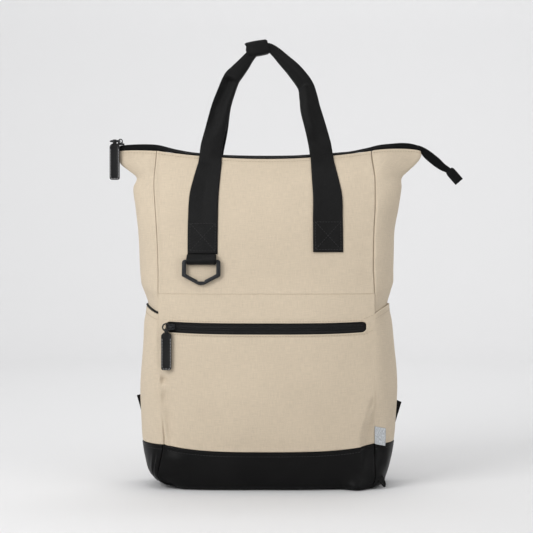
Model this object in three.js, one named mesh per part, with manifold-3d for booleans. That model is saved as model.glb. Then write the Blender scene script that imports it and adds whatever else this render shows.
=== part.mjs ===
// Backpack tote: a canvas body, square at the base and pinched flat at its zipped mouth, on a black
// leather base, with webbing handles, a hanging ring, a zipped front pocket, slip pockets on the
// sides and a pair of shoulder straps on the back.
// Millimetres, +Z up. The origin lies on the floor under the middle of the base. The front faces -Y.
import * as THREE from 'three';
import { mergeVertices } from 'three/addons/utils/BufferGeometryUtils.js';
import Module from 'manifold-3d';

const wasm = await Module();
wasm.setup();

const { degToRad, euclideanModulo, lerp, smoothstep } = THREE.MathUtils;

// Thicknesses and standard widths
const CANVAS = 1.6;
const LEATHER = 2;
const WEBBING = 1.8;
const TAPE = 1.2;
const WEBBING_WIDTH = 38;
const STRAP_WIDTH = 25;

// Clear distance between pieces that are sewn together, and under webbing that lies on the cloth
const SEAM_GAP = 0.3;
const HALF_GAP = SEAM_GAP / 2;
const SEWN_LIFT = 0.4;

// Heights of the seams, and how far the cloth hangs down in the middle of its edges
const FLOOR_PLATE = 2;
const BASE_TOP = 57.5;
const POCKET_TOP = 248;
const MOUTH = 432;
const FRONT_SAG = 8;
const FRONT_SAG_POWER = 3.5;
const MOUTH_SAG = { front: 9.5, back: 4.5 };
// Heights between which the sags grow from nothing and fade again
const MOUTH_SAG_FROM = 330;
const FRONT_SAG_RISE = { from: 10, to: 50 };
const FRONT_SAG_FADE = { from: 120, to: 270 };

// The body's sections. left and right are its half widths, seamLeft and seamRight those of the front
// and back panels, depth the half depth at the seams, front and back the bulge of the two panels
// in the middle. pinch flattens the sides into the ears at the mouth.
const SECTIONS = [
  { z: 0, left: 136, right: 141, seamLeft: 125, seamRight: 125, depth: 44, front: 4, back: 3, pinch: 1 },
  { z: 4, left: 145, right: 150, seamLeft: 132, seamRight: 132, depth: 50, front: 7, back: 4, pinch: 1 },
  { z: 12, left: 150, right: 153.5, seamLeft: 136, seamRight: 136, depth: 53, front: 10, back: 5, pinch: 1 },
  { z: 28, left: 155.5, right: 158.5, seamLeft: 135, seamRight: 137, depth: 55, front: 13, back: 6, pinch: 1 },
  { z: 57.5, left: 161, right: 164.5, seamLeft: 131, seamRight: 136, depth: 56, front: 16, back: 6, pinch: 1 },
  { z: 85, left: 163, right: 166.5, seamLeft: 132.5, seamRight: 136, depth: 57, front: 18, back: 6, pinch: 1 },
  { z: 130, left: 164, right: 168.5, seamLeft: 135, seamRight: 136, depth: 57, front: 20, back: 7, pinch: 1 },
  { z: 180, left: 160.5, right: 165, seamLeft: 136.5, seamRight: 136, depth: 56, front: 19, back: 7, pinch: 1 },
  { z: 212, left: 158.3, right: 162, seamLeft: 137, seamRight: 136, depth: 55, front: 17, back: 7, pinch: 1 },
  { z: 234, left: 156, right: 158.3, seamLeft: 137, seamRight: 136, depth: 53.5, front: 15, back: 7, pinch: 1 },
  { z: 250, left: 161, right: 162.5, seamLeft: 137.5, seamRight: 136, depth: 52, front: 13.5, back: 7, pinch: 1 },
  { z: 285, left: 165, right: 163.8, seamLeft: 138, seamRight: 135, depth: 48.5, front: 12, back: 7, pinch: 1 },
  { z: 330, left: 167.5, right: 166, seamLeft: 140.5, seamRight: 136.5, depth: 41, front: 11, back: 8, pinch: 1 },
  { z: 360, left: 171, right: 171.5, seamLeft: 143, seamRight: 138.5, depth: 33.5, front: 10, back: 8, pinch: 1 },
  { z: 385, left: 173.5, right: 175, seamLeft: 145, seamRight: 139, depth: 25.5, front: 9, back: 8, pinch: 1.1 },
  { z: 398, left: 169.5, right: 176, seamLeft: 145, seamRight: 139, depth: 20, front: 9, back: 8.5, pinch: 1.5 },
  { z: 407, left: 180, right: 185.5, seamLeft: 144.5, seamRight: 138, depth: 15.5, front: 9, back: 9, pinch: 2 },
  { z: 415, left: 190, right: 194.5, seamLeft: 144, seamRight: 137, depth: 11, front: 9, back: 9, pinch: 2.4 },
  { z: 424, left: 192, right: 201, seamLeft: 143.5, seamRight: 136, depth: 7, front: 9, back: 9, pinch: 2.5 },
  { z: 432, left: 192, right: 202, seamLeft: 143, seamRight: 135.5, depth: 5, front: 9, back: 9, pinch: 2.5 },
];
const FULL_PINCH = 2.5;
const CROWN_POWER = 2.4;
const SIDE_POWER = 1.35;
// Half thickness of an ear, and the share of the turn in which its two layers close to a fold
const EAR_FOLD = 2;
const EAR_TURN = 0.3;
// How far an ear's upper edge stands above the mouth, and the height from which it does
const EAR_RISE = { left: 0.8, right: 3.5 };
const EAR_RISE_FROM = 385;

// Dents in the front: a crease at the lower right and a pucker at the lower left
const DENTS = [
  { x: 121, z: 62, wide: 9, tall: 26, depth: 5 },
  { x: 124, z: 104, wide: 8, tall: 24, depth: 3.5 },
  { x: -125, z: 92, wide: 8, tall: 34, depth: 4 },
];
// The dents end at the seams: a high power keeps their depth until close to them
const DENT_FADE = 30;

// The slip pockets' mouths: their height at the seams, their rise between, and how far the side
// panel stands back behind the pocket's cloth
const SLIP_MOUTH = 222;
const SLIP_RISE = 13;
const SLIP_DEPTH = 2.2;
const SLIP_BLEND = { from: 14, to: 30 };
const BINDING_HEIGHT = 2.3;
const BINDING_THICK = 2;

// The front pocket's zip
const POCKET_ZIP_Z = 207;
const POCKET_ZIP_LEFT = -128;
const POCKET_ZIP_RIGHT = 126;
const SLOT_HALF = 6.5;
const ZIP_TAPE_HALF = 11;
const ZIP_SEAT = CANVAS + 0.6;
const ZIP_RIDGE = 0.9;
const ZIP_RIDGE_HALF = 2;
const ZIP_RIDGE_FOOT = 2.6;
const ZIP_TAPE_MARGIN = 5;

// The top zip: its ends, its height above the cloth's edge along x, and its least half width
const TOP_ZIP_LEFT = -197;
const TOP_ZIP_RIGHT = 203;
const TOP_ZIP_HALF = 3;
const TOP_ZIP_ARCH = [
  { x: -197, height: 3.6 },
  { x: -165, height: 5.4 },
  { x: -137, height: 5.4 },
  { x: -114, height: 2.4 },
  { x: -94, height: 0.6 },
  { x: 0, height: 0.4 },
  { x: 94, height: 0.6 },
  { x: 116, height: 1.2 },
  { x: 136, height: 2.6 },
  { x: 155, height: 4.2 },
  { x: 185, height: 5.2 },
  { x: 203, height: 6.2 },
];
const ZIP_TAIL = [
  { x: 205, z: 438, width: 10.5 },
  { x: 210, z: 432.4, width: 11.5 },
  { x: 221, z: 422.5, width: 10 },
  { x: 228.5, z: 415, width: 9 },
  { x: 236.4, z: 409.5, width: 8 },
];
const ZIP_TAIL_THICK = 2.4;
const END_TAB = [
  { x: 237.9, z: 408.4, width: 10 },
  { x: 241, z: 404.7, width: 12.5 },
  { x: 251.4, z: 392.6, width: 12.5 },
];
const END_TAB_THICK = 3.4;

// Zip sliders, their links and their leather pulls
const SLIDER = { length: 10.5, width: 7.6, plate: 2.2, corner: 2.5 };
const BAIL = { hole: 1.9, outer: 3.1, wide: 2.2, sunk: 0.5 };
const LINK_WIRE = 0.9;
const POCKET_LINK = 4.6;
const TOP_LINK = 6.2;
const TOP_LINK_LEAN = 12;
const PULL = { width: 13, thick: 3.2, length: 49, eyeHole: 2, eyeOuter: 3.4, eyeWide: 4.6 };
const PULL_CORNER = 3;
const PULL_SHOULDER = { high: 4.4, low: 9.4 };
const POCKET_SLIDER_X = -121;
const TOP_SLIDER_X = -190.5;

// The handles' legs on the front, and the front handle's way over the top
const LEG_END_LEFT = 297.3;
const LEG_END_RIGHT = 300;
const BACK_LEG_END = 332;
const LEGS = [
  { z: 296, left: -81, right: 77, width: WEBBING_WIDTH },
  { z: 340, left: -81, right: 77, width: WEBBING_WIDTH },
  { z: 377, left: -80, right: 77, width: 37 },
  { z: 400, left: -77, right: 74.5, width: 34 },
  { z: 424, left: -73.3, right: 71.6, width: 30 },
];
const LEG_TOP = 424;
const LEG_STEP = 21;
const ARCH = [
  { x: -71.5, y: -14.6, z: 438, width: 28, thick: 2 },
  { x: -66.5, y: -12.5, z: 460, width: 26.5, thick: 2.2 },
  { x: -60, y: -9.8, z: 487, width: 25, thick: 2.6 },
  { x: -54.5, y: -8, z: 503, width: 24, thick: 3 },
  { x: -46.5, y: -6.2, z: 525, width: 21.5, thick: 3.4 },
  { x: -39, y: -4.6, z: 534.5, width: 19.5, thick: 3.8 },
  { x: -31, y: -3.2, z: 544, width: 17, thick: 4 },
  { x: -24, y: -2.5, z: 553, width: 14, thick: 4 },
  { x: -18, y: -2.5, z: 559.6, width: 12.5, thick: 4 },
  { x: -9.5, y: -2.5, z: 565.4, width: 10.6, thick: 4 },
  { x: 1.5, y: -2.5, z: 567.2, width: 10.2, thick: 4 },
  { x: 11.5, y: -2.8, z: 560.6, width: 13, thick: 4 },
  { x: 22.6, y: -3.8, z: 549.6, width: 16, thick: 4 },
  { x: 36, y: -5.2, z: 536, width: 19, thick: 3.8 },
  { x: 47.8, y: -6.8, z: 518, width: 23, thick: 3.2 },
  { x: 53, y: -8.2, z: 503, width: 24.5, thick: 2.8 },
  { x: 56.3, y: -10, z: 487, width: 25.5, thick: 2.4 },
  { x: 60.7, y: -11.6, z: 471, width: 26.3, thick: 2.2 },
  { x: 64.9, y: -13.2, z: 455.5, width: 27, thick: 2 },
  { x: 68.6, y: -14.6, z: 440, width: 28, thick: 2 },
];
const ARCH_LOW = 424;
const ARCH_TOP = 564;
// The back handle's legs lean in by this share of their distance from the middle
const BACK_LEAN = 0.06;
// The sleeve round both grips. The webbing enters it from below, so that end is cut on a slant.
const WRAP = { x: -12.7, z: 565.4, tilt: 10, length: 28, tall: 19.4, deep: 14, wall: 1.6, corner: 3.5 };
const WRAP_CUT = { x: -9, z: 556.6, slope: 50.7, size: 80 };

// The webbing loop under the left leg and the ring that hangs in it
const RING_X = -82;
const RING_LIFT = 5.4;
const RING_Z = 288;
const RING_LEAN = 4;
const LOOP = { width: 37, hole: 3, outer: 4.8, top: 8, topFront: 1.6, topBack: 5.2, start: 1.5 };
const RING = { half: 24.4, arm: 5.2, bar: 1.7, thick: 3.4, corner: 4, side: 19, drop: 32 };
const RING_VERTEX = 0.25;
const RING_NOTCH = { half: 4.5, depth: 1.5, floor: 6.3 };

// The grey ribbon in the right front seam
const LABEL = { from: 0.012, to: 0.13, low: 57.5, high: 80, lean: 3, lift: 0.4, thick: 0.8 };

// A shoulder strap on the right of the back: a pad, an adjuster, webbing and an anchor tab
const PAD_TOP = [
  { z: 402, x: 31, width: 46, thick: 5 },
  { z: 390, x: 33, width: 47, thick: 6 },
];
const PAD = [
  { x: 37, y: 46.5, z: 374, width: 50, thick: 8 },
  { x: 50, y: 66, z: 338, width: 56, thick: 9 },
  { x: 61, y: 82, z: 295, width: 58, thick: 9 },
  { x: 71, y: 89, z: 245, width: 56, thick: 9 },
  { x: 80, y: 87, z: 200, width: 52, thick: 9 },
  { x: 93, y: 80, z: 166, width: 44, thick: 8 },
];
const PAD_EDGE = [0.35, 0.9, 1, 0.9, 0.35];
// Room for the slant of the pad's end against the adjuster's straight edge
const PAD_END_ROOM = 1.5;
const ADJUSTER = { width: 40, tall: 22, thick: 5, rim: 4.5, bars: 2, barTall: 4, corner: 2.5 };
const ANCHOR = { inner: 126, innerLow: 60, innerHigh: 122, outer: 174, outerFoot: 165, low: 78, high: 110 };
const ANCHOR_OUTER_Y = 51.5;
const STRAP_WEB = [
  { x: 120, y: 69, z: 119 },
  { x: 140, y: 62.5, z: 102 },
];
const STRAP_WEB_ROOM = 0.9;
const STRAP_WEB_STRAIGHT = 12;
const STRAP_WEB_END = { x: 153, z: 94 };

const MATERIALS = {
  canvas: new THREE.MeshStandardMaterial({ color: 0xd8c9af, roughness: 0.9 }),
  leather: new THREE.MeshStandardMaterial({ color: 0x1c1c1c, roughness: 0.5 }),
  webbing: new THREE.MeshStandardMaterial({ color: 0x262626, roughness: 0.85 }),
  tape: new THREE.MeshStandardMaterial({ color: 0x1f1f1f, roughness: 0.75 }),
  ring: new THREE.MeshStandardMaterial({ color: 0x2b2d30, roughness: 0.4, metalness: 0.6 }),
  label: new THREE.MeshStandardMaterial({ color: 0xb9bcbd, roughness: 0.8 }),
  padding: new THREE.MeshStandardMaterial({ color: 0x2a2a2a, roughness: 0.9 }),
  plastic: new THREE.MeshStandardMaterial({ color: 0x202020, roughness: 0.45 }),
};

const FRONT = -1;
const BACK = 1;
const tote = new THREE.Group();

function add(name, geometry, material) {
  const mesh = new THREE.Mesh(geometry, material);
  mesh.name = name;
  tote.add(mesh);
  return mesh;
}

// A smooth curve through the rows of a table, read at a value of its key column
function smoothTable(rows, key) {
  const names = Object.keys(rows[0]).filter((name) => name !== key);
  const places = rows.map((row) => row[key]);
  const values = rows.flatMap((row) => names.map((name) => row[name]));
  const curve = new THREE.CubicInterpolant(places, values, names.length);
  return (place) => {
    const found = curve.evaluate(place);
    return Object.fromEntries(names.map((name, i) => [name, found[i]]));
  };
}

function steps(from, to, count) {
  return Array.from({ length: count + 1 }, (_, i) => lerp(from, to, i / count));
}

const sectionAt = smoothTable(SECTIONS, 'z');

// Half width of the front and back panels to the left, where x is negative, or to the right
function seamAt(x, z) {
  const cut = sectionAt(z);
  return x < 0 ? cut.seamLeft : cut.seamRight;
}

function dentAt(x, z) {
  const parts = DENTS.map((dent) => {
    const across = (x - dent.x) / dent.wide;
    const up = (z - dent.z) / dent.tall;
    return dent.depth * Math.exp(-across * across - up * up);
  });
  return parts.reduce((sum, part) => sum + part, 0);
}

// A point of the front or back panel, u from -1 at its left seam to 1 at its right one
function facePoint(u, z, toward) {
  const cut = sectionAt(z);
  const x = u * seamAt(u, z);
  const off = Math.abs(u);
  const mouthBow = (1 - u * u) * smoothstep(z, MOUTH_SAG_FROM, MOUTH);
  if (toward === BACK) {
    const bulge = cut.back * (1 - off ** CROWN_POWER);
    return new THREE.Vector3(x, cut.depth + bulge, z - MOUTH_SAG.back * mouthBow);
  }
  const bulge = cut.front * (1 - off ** CROWN_POWER) - dentAt(x, z) * (1 - off ** DENT_FADE);
  const rise = smoothstep(z, FRONT_SAG_RISE.from, FRONT_SAG_RISE.to);
  const fade = smoothstep(z, FRONT_SAG_FADE.from, FRONT_SAG_FADE.to);
  const sag = FRONT_SAG * (1 - off ** FRONT_SAG_POWER) * rise * (1 - fade);
  return new THREE.Vector3(x, -cut.depth - bulge, z - sag - MOUTH_SAG.front * mouthBow);
}

// A point of a side, phi from 0 at its front seam to PI at its back one
function sidePoint(phi, z, hand) {
  const cut = sectionAt(z);
  const side = hand > 0 ? 'right' : 'left';
  const reach = cut[side];
  const seam = seamAt(hand, z);
  const facing = Math.cos(phi);
  const c = Math.abs(facing);
  const flat = c ** cut.pinch;
  const pinched = (cut.pinch - 1) / (FULL_PINCH - 1);
  const fold = EAR_FOLD * pinched * (1 - flat) * Math.min(1, c / EAR_TURN);
  const x = hand * (seam + (reach - seam) * Math.sin(phi) ** SIDE_POWER);
  const rise = EAR_RISE[side] * Math.abs(Math.sin(2 * phi)) * smoothstep(z, EAR_RISE_FROM, MOUTH);
  return new THREE.Vector3(x, -Math.sign(facing) * (cut.depth * flat + fold), z + rise);
}

// The bag's outer surface. s runs once round it: 0 to 1 across the front from left to right, 1 to 2
// along the right side, 2 to 3 across the back and 3 to 4 along the left side.
function skin(s, z) {
  const turn = euclideanModulo(s, 4);
  const face = Math.floor(turn);
  const t = turn - face;
  if (face === 0) return facePoint(2 * t - 1, z, FRONT);
  if (face === 1) return sidePoint(Math.PI * t, z, 1);
  if (face === 2) return facePoint(1 - 2 * t, z, BACK);
  return sidePoint(Math.PI * (1 - t), z, -1);
}

const NORMAL_STEP = 0.004;
const SEAM_REACH = 0.01;

// The outward direction of the skin. Both panels at a seam take the seam's own direction.
function skinNormal(s, z) {
  const seam = Math.round(s);
  const at = Math.abs(s - seam) < SEAM_REACH ? seam : s;
  const along = skin(at + NORMAL_STEP, z).sub(skin(at - NORMAL_STEP, z));
  const up = skin(at, z + 1).sub(skin(at, z - 1));
  return along.cross(up).normalize();
}

// A point at a depth behind the skin. The two layers of an ear stay on their own sides of the middle.
const EAR_CLEARANCE = 0.25;
function behindSkin(s, z, depth) {
  const outer = skin(s, z);
  const point = outer.clone().addScaledVector(skinNormal(s, z), -depth);
  if (Math.abs(outer.y) > EAR_CLEARANCE && depth > 0) {
    point.y = Math.sign(outer.y) * Math.max(Math.abs(point.y), EAR_CLEARANCE);
  }
  return point;
}

function alongFront(x, z) {
  return (1 + x / seamAt(x, z)) / 2;
}

function onFront(x, z, lift) {
  return behindSkin(alongFront(x, z), z, -lift);
}

function onBack(x, z, lift) {
  return behindSkin(2 + (1 - x / seamAt(x, z)) / 2, z, -lift);
}

function faceOutward(positions, faces) {
  const corner = (i) => new THREE.Vector3().fromArray(positions, 3 * i);
  let volume = 0;
  for (let i = 0; i < faces.length; i += 3) {
    volume += corner(faces[i]).dot(corner(faces[i + 1]).cross(corner(faces[i + 2])));
  }
  if (volume > 0) return faces;
  return faces.reverse();
}

function meshFrom(points, faces) {
  const positions = points.flatMap((point) => point.toArray());
  const geometry = new THREE.BufferGeometry();
  geometry.setAttribute('position', new THREE.Float32BufferAttribute(positions, 3));
  geometry.setIndex(faceOutward(positions, faces));
  geometry.computeVertexNormals();
  return geometry;
}

// A closed shell between two grids of points, with a rim along its four edges
function wall(columns, rows, outerAt, innerAt) {
  const layers = [outerAt, innerAt];
  const points = layers.flatMap((at) => rows.flatMap((row) => columns.map((column) => at(column, row))));
  const faces = [];
  const quad = (a, b, c, d) => faces.push(a, b, c, a, c, d);
  const outer = (i, j) => j * columns.length + i;
  const inner = (i, j) => outer(i, j) + columns.length * rows.length;
  const lastColumn = columns.length - 1;
  const lastRow = rows.length - 1;
  for (let j = 0; j < lastRow; j += 1) {
    for (let i = 0; i < lastColumn; i += 1) {
      quad(outer(i, j), outer(i + 1, j), outer(i + 1, j + 1), outer(i, j + 1));
      quad(inner(i, j), inner(i, j + 1), inner(i + 1, j + 1), inner(i + 1, j));
    }
    quad(outer(0, j), outer(0, j + 1), inner(0, j + 1), inner(0, j));
    quad(outer(lastColumn, j + 1), outer(lastColumn, j), inner(lastColumn, j), inner(lastColumn, j + 1));
  }
  for (let i = 0; i < lastColumn; i += 1) {
    quad(outer(i + 1, 0), outer(i, 0), inner(i, 0), inner(i + 1, 0));
    quad(outer(i, lastRow), outer(i + 1, lastRow), inner(i + 1, lastRow), inner(i, lastRow));
  }
  return meshFrom(points, faces);
}

// The heights of the section rows between two seams, with long stretches divided
const LONGEST_STEP = 30;
function levels(low, high) {
  const between = SECTIONS.map((row) => row.z).filter((z) => z > low + 1 && z < high - 1);
  const ends = [low, ...between, high];
  const divided = ends.slice(1).flatMap((to, i) => {
    const count = Math.ceil((to - ends[i]) / LONGEST_STEP);
    return steps(ends[i], to, count).slice(1);
  });
  return [low, ...divided];
}

// A panel of cloth on the skin from seam to seam, round face number face
const SIDE_SEAM_INSET = 0.008;
function panel(face, columns, heights, thickness, standsBack = () => 0) {
  const isSide = face % 2 === 1;
  const inset = (z) => (isSide ? SIDE_SEAM_INSET : HALF_GAP / (2 * sectionAt(z).seamLeft));
  const along = (t, z) => face + lerp(inset(z), 1 - inset(z), t);
  const at = (extra) => (t, z) => {
    const s = along(t, z);
    return behindSkin(s, z, standsBack(s, z) + extra);
  };
  return wall(columns, heights, at(0), at(thickness));
}

// Columns of the front: close together at the sides, where its creases lie
const FRONT_COLUMNS = [0, 0.025, 0.06, 0.11, ...steps(0.2, 0.8, 5), 0.89, 0.94, 0.975, 1];
const BACK_COLUMNS = steps(0, 1, 10);
const SIDE_COLUMNS = steps(0, 1, 10);

function toSolid(geometry) {
  const bare = geometry.clone();
  bare.deleteAttribute('normal');
  bare.deleteAttribute('uv');
  const merged = mergeVertices(bare);
  const vertProperties = new Float32Array(merged.attributes.position.array);
  const triVerts = new Uint32Array(merged.index.array);
  return new wasm.Manifold(new wasm.Mesh({ numProp: 3, vertProperties, triVerts }));
}

function fromSolid(solid) {
  const { vertProperties, triVerts } = solid.getMesh();
  const geometry = new THREE.BufferGeometry();
  geometry.setAttribute('position', new THREE.BufferAttribute(vertProperties, 3));
  geometry.setIndex(new THREE.BufferAttribute(triVerts, 1));
  geometry.computeVertexNormals();
  return geometry;
}

function slipMouth(s) {
  return SLIP_MOUTH + SLIP_RISE * Math.sin(Math.PI * (s % 1));
}

// The side panel stands back behind the slip pocket and comes out to the skin above its mouth
function behindSlipPocket(s, z) {
  return SLIP_DEPTH * (1 - smoothstep(z - slipMouth(s), SLIP_BLEND.from, SLIP_BLEND.to));
}

function buildBody() {
  const { canvas, leather, webbing } = MATERIALS;
  const upper = levels(POCKET_TOP + HALF_GAP, MOUTH);
  const lower = levels(BASE_TOP + HALF_GAP, POCKET_TOP - HALF_GAP);
  const whole = levels(BASE_TOP + HALF_GAP, MOUTH);
  const base = levels(FLOOR_PLATE + SEAM_GAP, BASE_TOP - HALF_GAP);
  add('front_panel', panel(0, FRONT_COLUMNS, upper, CANVAS), canvas);
  const pocket = toSolid(panel(0, FRONT_COLUMNS, lower, CANVAS));
  add('pocket_panel', fromSolid(pocket.subtract(toSolid(pocketSlot()))), canvas);
  add('back_panel', panel(2, BACK_COLUMNS, whole, CANVAS), canvas);
  add('base_front', panel(0, FRONT_COLUMNS, base, LEATHER), leather);
  add('base_back', panel(2, BACK_COLUMNS, base, LEATHER), leather);
  for (const [side, face] of [['right', 1], ['left', 3]]) {
    add(`side_${side}`, panel(face, SIDE_COLUMNS, whole, CANVAS, behindSlipPocket), canvas);
    add(`side_pocket_${side}`, slipPocket(face), canvas);
    add(`base_${side}`, panel(face, SIDE_COLUMNS, base, LEATHER), leather);
  }
  add('pocket_binding_left', slipBinding(3), webbing);
  add('base_floor', floorPlate(), leather);
}

function slipPocket(face) {
  const rows = steps(0, 1, 8);
  const at = (depth) => (t, row) => {
    const s = face + lerp(SIDE_SEAM_INSET, 1 - SIDE_SEAM_INSET, t);
    return behindSkin(s, lerp(BASE_TOP + HALF_GAP, slipMouth(s), row), depth);
  };
  return wall(SIDE_COLUMNS, rows, at(0), at(CANVAS));
}

function slipBinding(face) {
  const at = (depth) => (t, rise) => {
    const s = face + lerp(SIDE_SEAM_INSET, 1 - SIDE_SEAM_INSET, t);
    return behindSkin(s, slipMouth(s) + rise, depth);
  };
  const rows = [2 * SEAM_GAP, 2 * SEAM_GAP + BINDING_HEIGHT];
  return wall(SIDE_COLUMNS, rows, at(-SEAM_GAP), at(BINDING_THICK - SEAM_GAP));
}

// The flat leather plate that the bag stands on
function floorPlate() {
  const around = [0, 1, 2, 3].flatMap((face) => steps(face, face + 1, 10).slice(0, -1));
  const count = around.length;
  const rings = [0, FLOOR_PLATE].flatMap((z) => around.map((s) => skin(s, z)));
  const centres = [new THREE.Vector3(0, 0, 0), new THREE.Vector3(0, 0, FLOOR_PLATE)];
  const faces = [];
  for (let i = 0; i < count; i += 1) {
    const next = (i + 1) % count;
    faces.push(2 * count, next, i);
    faces.push(2 * count + 1, count + i, count + next);
    faces.push(i, next, count + next, i, count + next, count + i);
  }
  return meshFrom([...rings, ...centres], faces);
}

// The cutter of the front pocket's slot: a stadium outline that follows the skin
function pocketSlot() {
  const middle = (POCKET_ZIP_LEFT + POCKET_ZIP_RIGHT) / 2;
  const straight = (POCKET_ZIP_RIGHT - POCKET_ZIP_LEFT) / 2 - SLOT_HALF;
  const turn = steps(0.1, Math.PI / 2, 4);
  const leftEnd = turn.map((a) => [-straight - SLOT_HALF * Math.cos(a), SLOT_HALF * Math.sin(a)]);
  const run = steps(-straight, straight, 12).slice(1, -1).map((x) => [x, SLOT_HALF]);
  const rightEnd = leftEnd.map(([x, half]) => [-x, half]).reverse();
  const stations = [...leftEnd, ...run, ...rightEnd];
  const at = (lift) => ([x, half], side) => onFront(middle + x, POCKET_ZIP_Z + side * half, lift);
  return wall(stations, [-1, 1], at(3), at(-2 * CANVAS));
}

// The zip tape behind the slot, with a low ridge in the middle where its two halves meet
function pocketTape() {
  const columns = steps(POCKET_ZIP_LEFT - ZIP_TAPE_MARGIN, POCKET_ZIP_RIGHT + ZIP_TAPE_MARGIN, 16);
  const rows = [
    { off: -ZIP_TAPE_HALF, rise: 0 },
    { off: -ZIP_RIDGE_FOOT, rise: 0 },
    { off: -ZIP_RIDGE_HALF, rise: ZIP_RIDGE },
    { off: ZIP_RIDGE_HALF, rise: ZIP_RIDGE },
    { off: ZIP_RIDGE_FOOT, rise: 0 },
    { off: ZIP_TAPE_HALF, rise: 0 },
  ];
  const shown = (x) => x > POCKET_ZIP_LEFT + SLOT_HALF && x < POCKET_ZIP_RIGHT - SLOT_HALF;
  const outer = (x, { off, rise }) => onFront(x, POCKET_ZIP_Z + off, (shown(x) ? rise : 0) - ZIP_SEAT);
  const inner = (x, { off }) => onFront(x, POCKET_ZIP_Z + off, -ZIP_SEAT - TAPE);
  return wall(columns, rows, outer, inner);
}

const topArchAt = smoothTable(TOP_ZIP_ARCH, 'x');
const mouthSection = sectionAt(MOUTH);

// Half depth of the mouth, and the height of the cloth's edge at its front and back
function mouthEdge(x) {
  const seam = seamAt(x, MOUTH);
  const u = x / seam;
  if (Math.abs(u) <= 1) {
    const back = facePoint(u, MOUTH, BACK);
    return { half: back.y, front: facePoint(u, MOUTH, FRONT).z, back: back.z };
  }
  const hand = Math.sign(x);
  const reach = hand > 0 ? mouthSection.right : mouthSection.left;
  const share = (Math.abs(x) - seam) / (reach - seam);
  const phi = Math.asin(Math.min(1, share) ** (1 / SIDE_POWER));
  const edge = sidePoint(phi, MOUTH, hand);
  return { half: Math.abs(edge.y), front: edge.z, back: edge.z };
}

function topZipCrest(x) {
  const edge = mouthEdge(x);
  return (edge.front + edge.back) / 2 + SEAM_GAP + TAPE + topArchAt(x).height + ZIP_RIDGE;
}

// The zip tape that closes the mouth, an arch over the cloth's two edges with a low middle ridge
function topTape() {
  const columns = steps(TOP_ZIP_LEFT, TOP_ZIP_RIGHT, 22);
  const rows = [
    { across: -1, rise: 0 },
    { across: -0.55, rise: 0 },
    { across: -0.2, rise: 0 },
    { across: 0, rise: ZIP_RIDGE },
    { across: 0.2, rise: 0 },
    { across: 0.55, rise: 0 },
    { across: 1, rise: 0 },
  ];
  const at = (thick) => (x, { across, rise }) => {
    const edge = mouthEdge(x);
    const half = Math.max(edge.half, TOP_ZIP_HALF);
    const arch = topArchAt(x).height * (1 - across * across);
    const foot = lerp(edge.front, edge.back, (1 + across) / 2) + SEAM_GAP;
    return new THREE.Vector3(x, across * half, foot + arch + (thick > 0 ? thick + rise : 0));
  };
  return wall(columns, rows, at(TAPE), at(0));
}

// A strip's row of points: across runs over its width, and profile gives its thickness there
const FLAT_STRIP = [1, 1, 1];

function freeRow(centre, tangent, face, width, thick, profile = FLAT_STRIP) {
  const across = tangent.clone().cross(face).normalize();
  const out = across.clone().cross(tangent).normalize();
  return profile.map((share, i) => {
    const middle = centre.clone().addScaledVector(across, (i / (profile.length - 1) - 0.5) * width);
    const half = share * thick / 2;
    return { outer: middle.clone().addScaledVector(out, half), inner: middle.addScaledVector(out, -half) };
  });
}

function sewnRow(place, x, z, width, thick, profile = FLAT_STRIP) {
  return profile.map((share, i) => {
    const at = x + (i / (profile.length - 1) - 0.5) * width;
    return { outer: place(at, z, SEWN_LIFT + share * thick), inner: place(at, z, SEWN_LIFT) };
  });
}

function strip(rows) {
  const columns = Array.from(rows[0].keys());
  return wall(columns, rows, (i, row) => row[i].outer, (i, row) => row[i].inner);
}

// Rows of a strip through the rows of a table, between divisions times as many
function freeRows(table, face, divisions, profile = FLAT_STRIP) {
  const at = smoothTable(table.map((row, step) => ({ step, ...row })), 'step');
  const point = (step) => {
    const { x, y, z } = at(step);
    return new THREE.Vector3(x, y, z);
  };
  const last = table.length - 1;
  return steps(0, last, last * divisions).map((step) => {
    const before = point(Math.max(0, step - 0.2));
    const tangent = point(Math.min(last, step + 0.2)).sub(before).normalize();
    const { width, thick } = at(step);
    return freeRow(point(step), tangent, face, width, thick, profile);
  });
}

const legAt = smoothTable(LEGS, 'z');

// A handle from the end of its left leg, over the top, to the end of its right leg. Strips that run
// up on the front and down on the back keep their columns in the same order.
function handle(place, toward, leftEnd, rightEnd) {
  const flip = toward === FRONT ? 1 : -1;
  const legRows = (end, side, hand) => {
    const count = Math.ceil((LEG_TOP - end) / LEG_STEP);
    return steps(end, LEG_TOP, count).map((z) => {
      const leg = legAt(z);
      return sewnRow(place, leg[side], z, hand * flip * leg.width, WEBBING);
    });
  };
  const route = ARCH.map((row) => {
    const height = (row.z - ARCH_LOW) / (ARCH_TOP - ARCH_LOW);
    const lean = toward === BACK ? BACK_LEAN * Math.sin(Math.PI * Math.min(1, height)) : 0;
    return { ...row, x: row.x * (1 - lean), y: -toward * row.y };
  });
  const arch = freeRows(route, new THREE.Vector3(0, toward, 0), 1);
  return strip([...legRows(leftEnd, 'left', 1), ...arch, ...legRows(rightEnd, 'right', -1).reverse()]);
}

function roundedRectangle(path, width, height, radius) {
  const x = width / 2 - radius;
  const y = height / 2 - radius;
  path.absarc(x, y, radius, 0, Math.PI / 2);
  path.absarc(-x, y, radius, Math.PI / 2, Math.PI);
  path.absarc(-x, -y, radius, Math.PI, 1.5 * Math.PI);
  path.absarc(x, -y, radius, 1.5 * Math.PI, 2 * Math.PI);
  path.closePath();
  return path;
}

function extrude(shape, depth, options = {}) {
  const settings = { depth, bevelEnabled: false, curveSegments: 4, ...options };
  const geometry = new THREE.ExtrudeGeometry(shape, settings);
  return geometry.translate(0, 0, -depth / 2);
}

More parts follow.
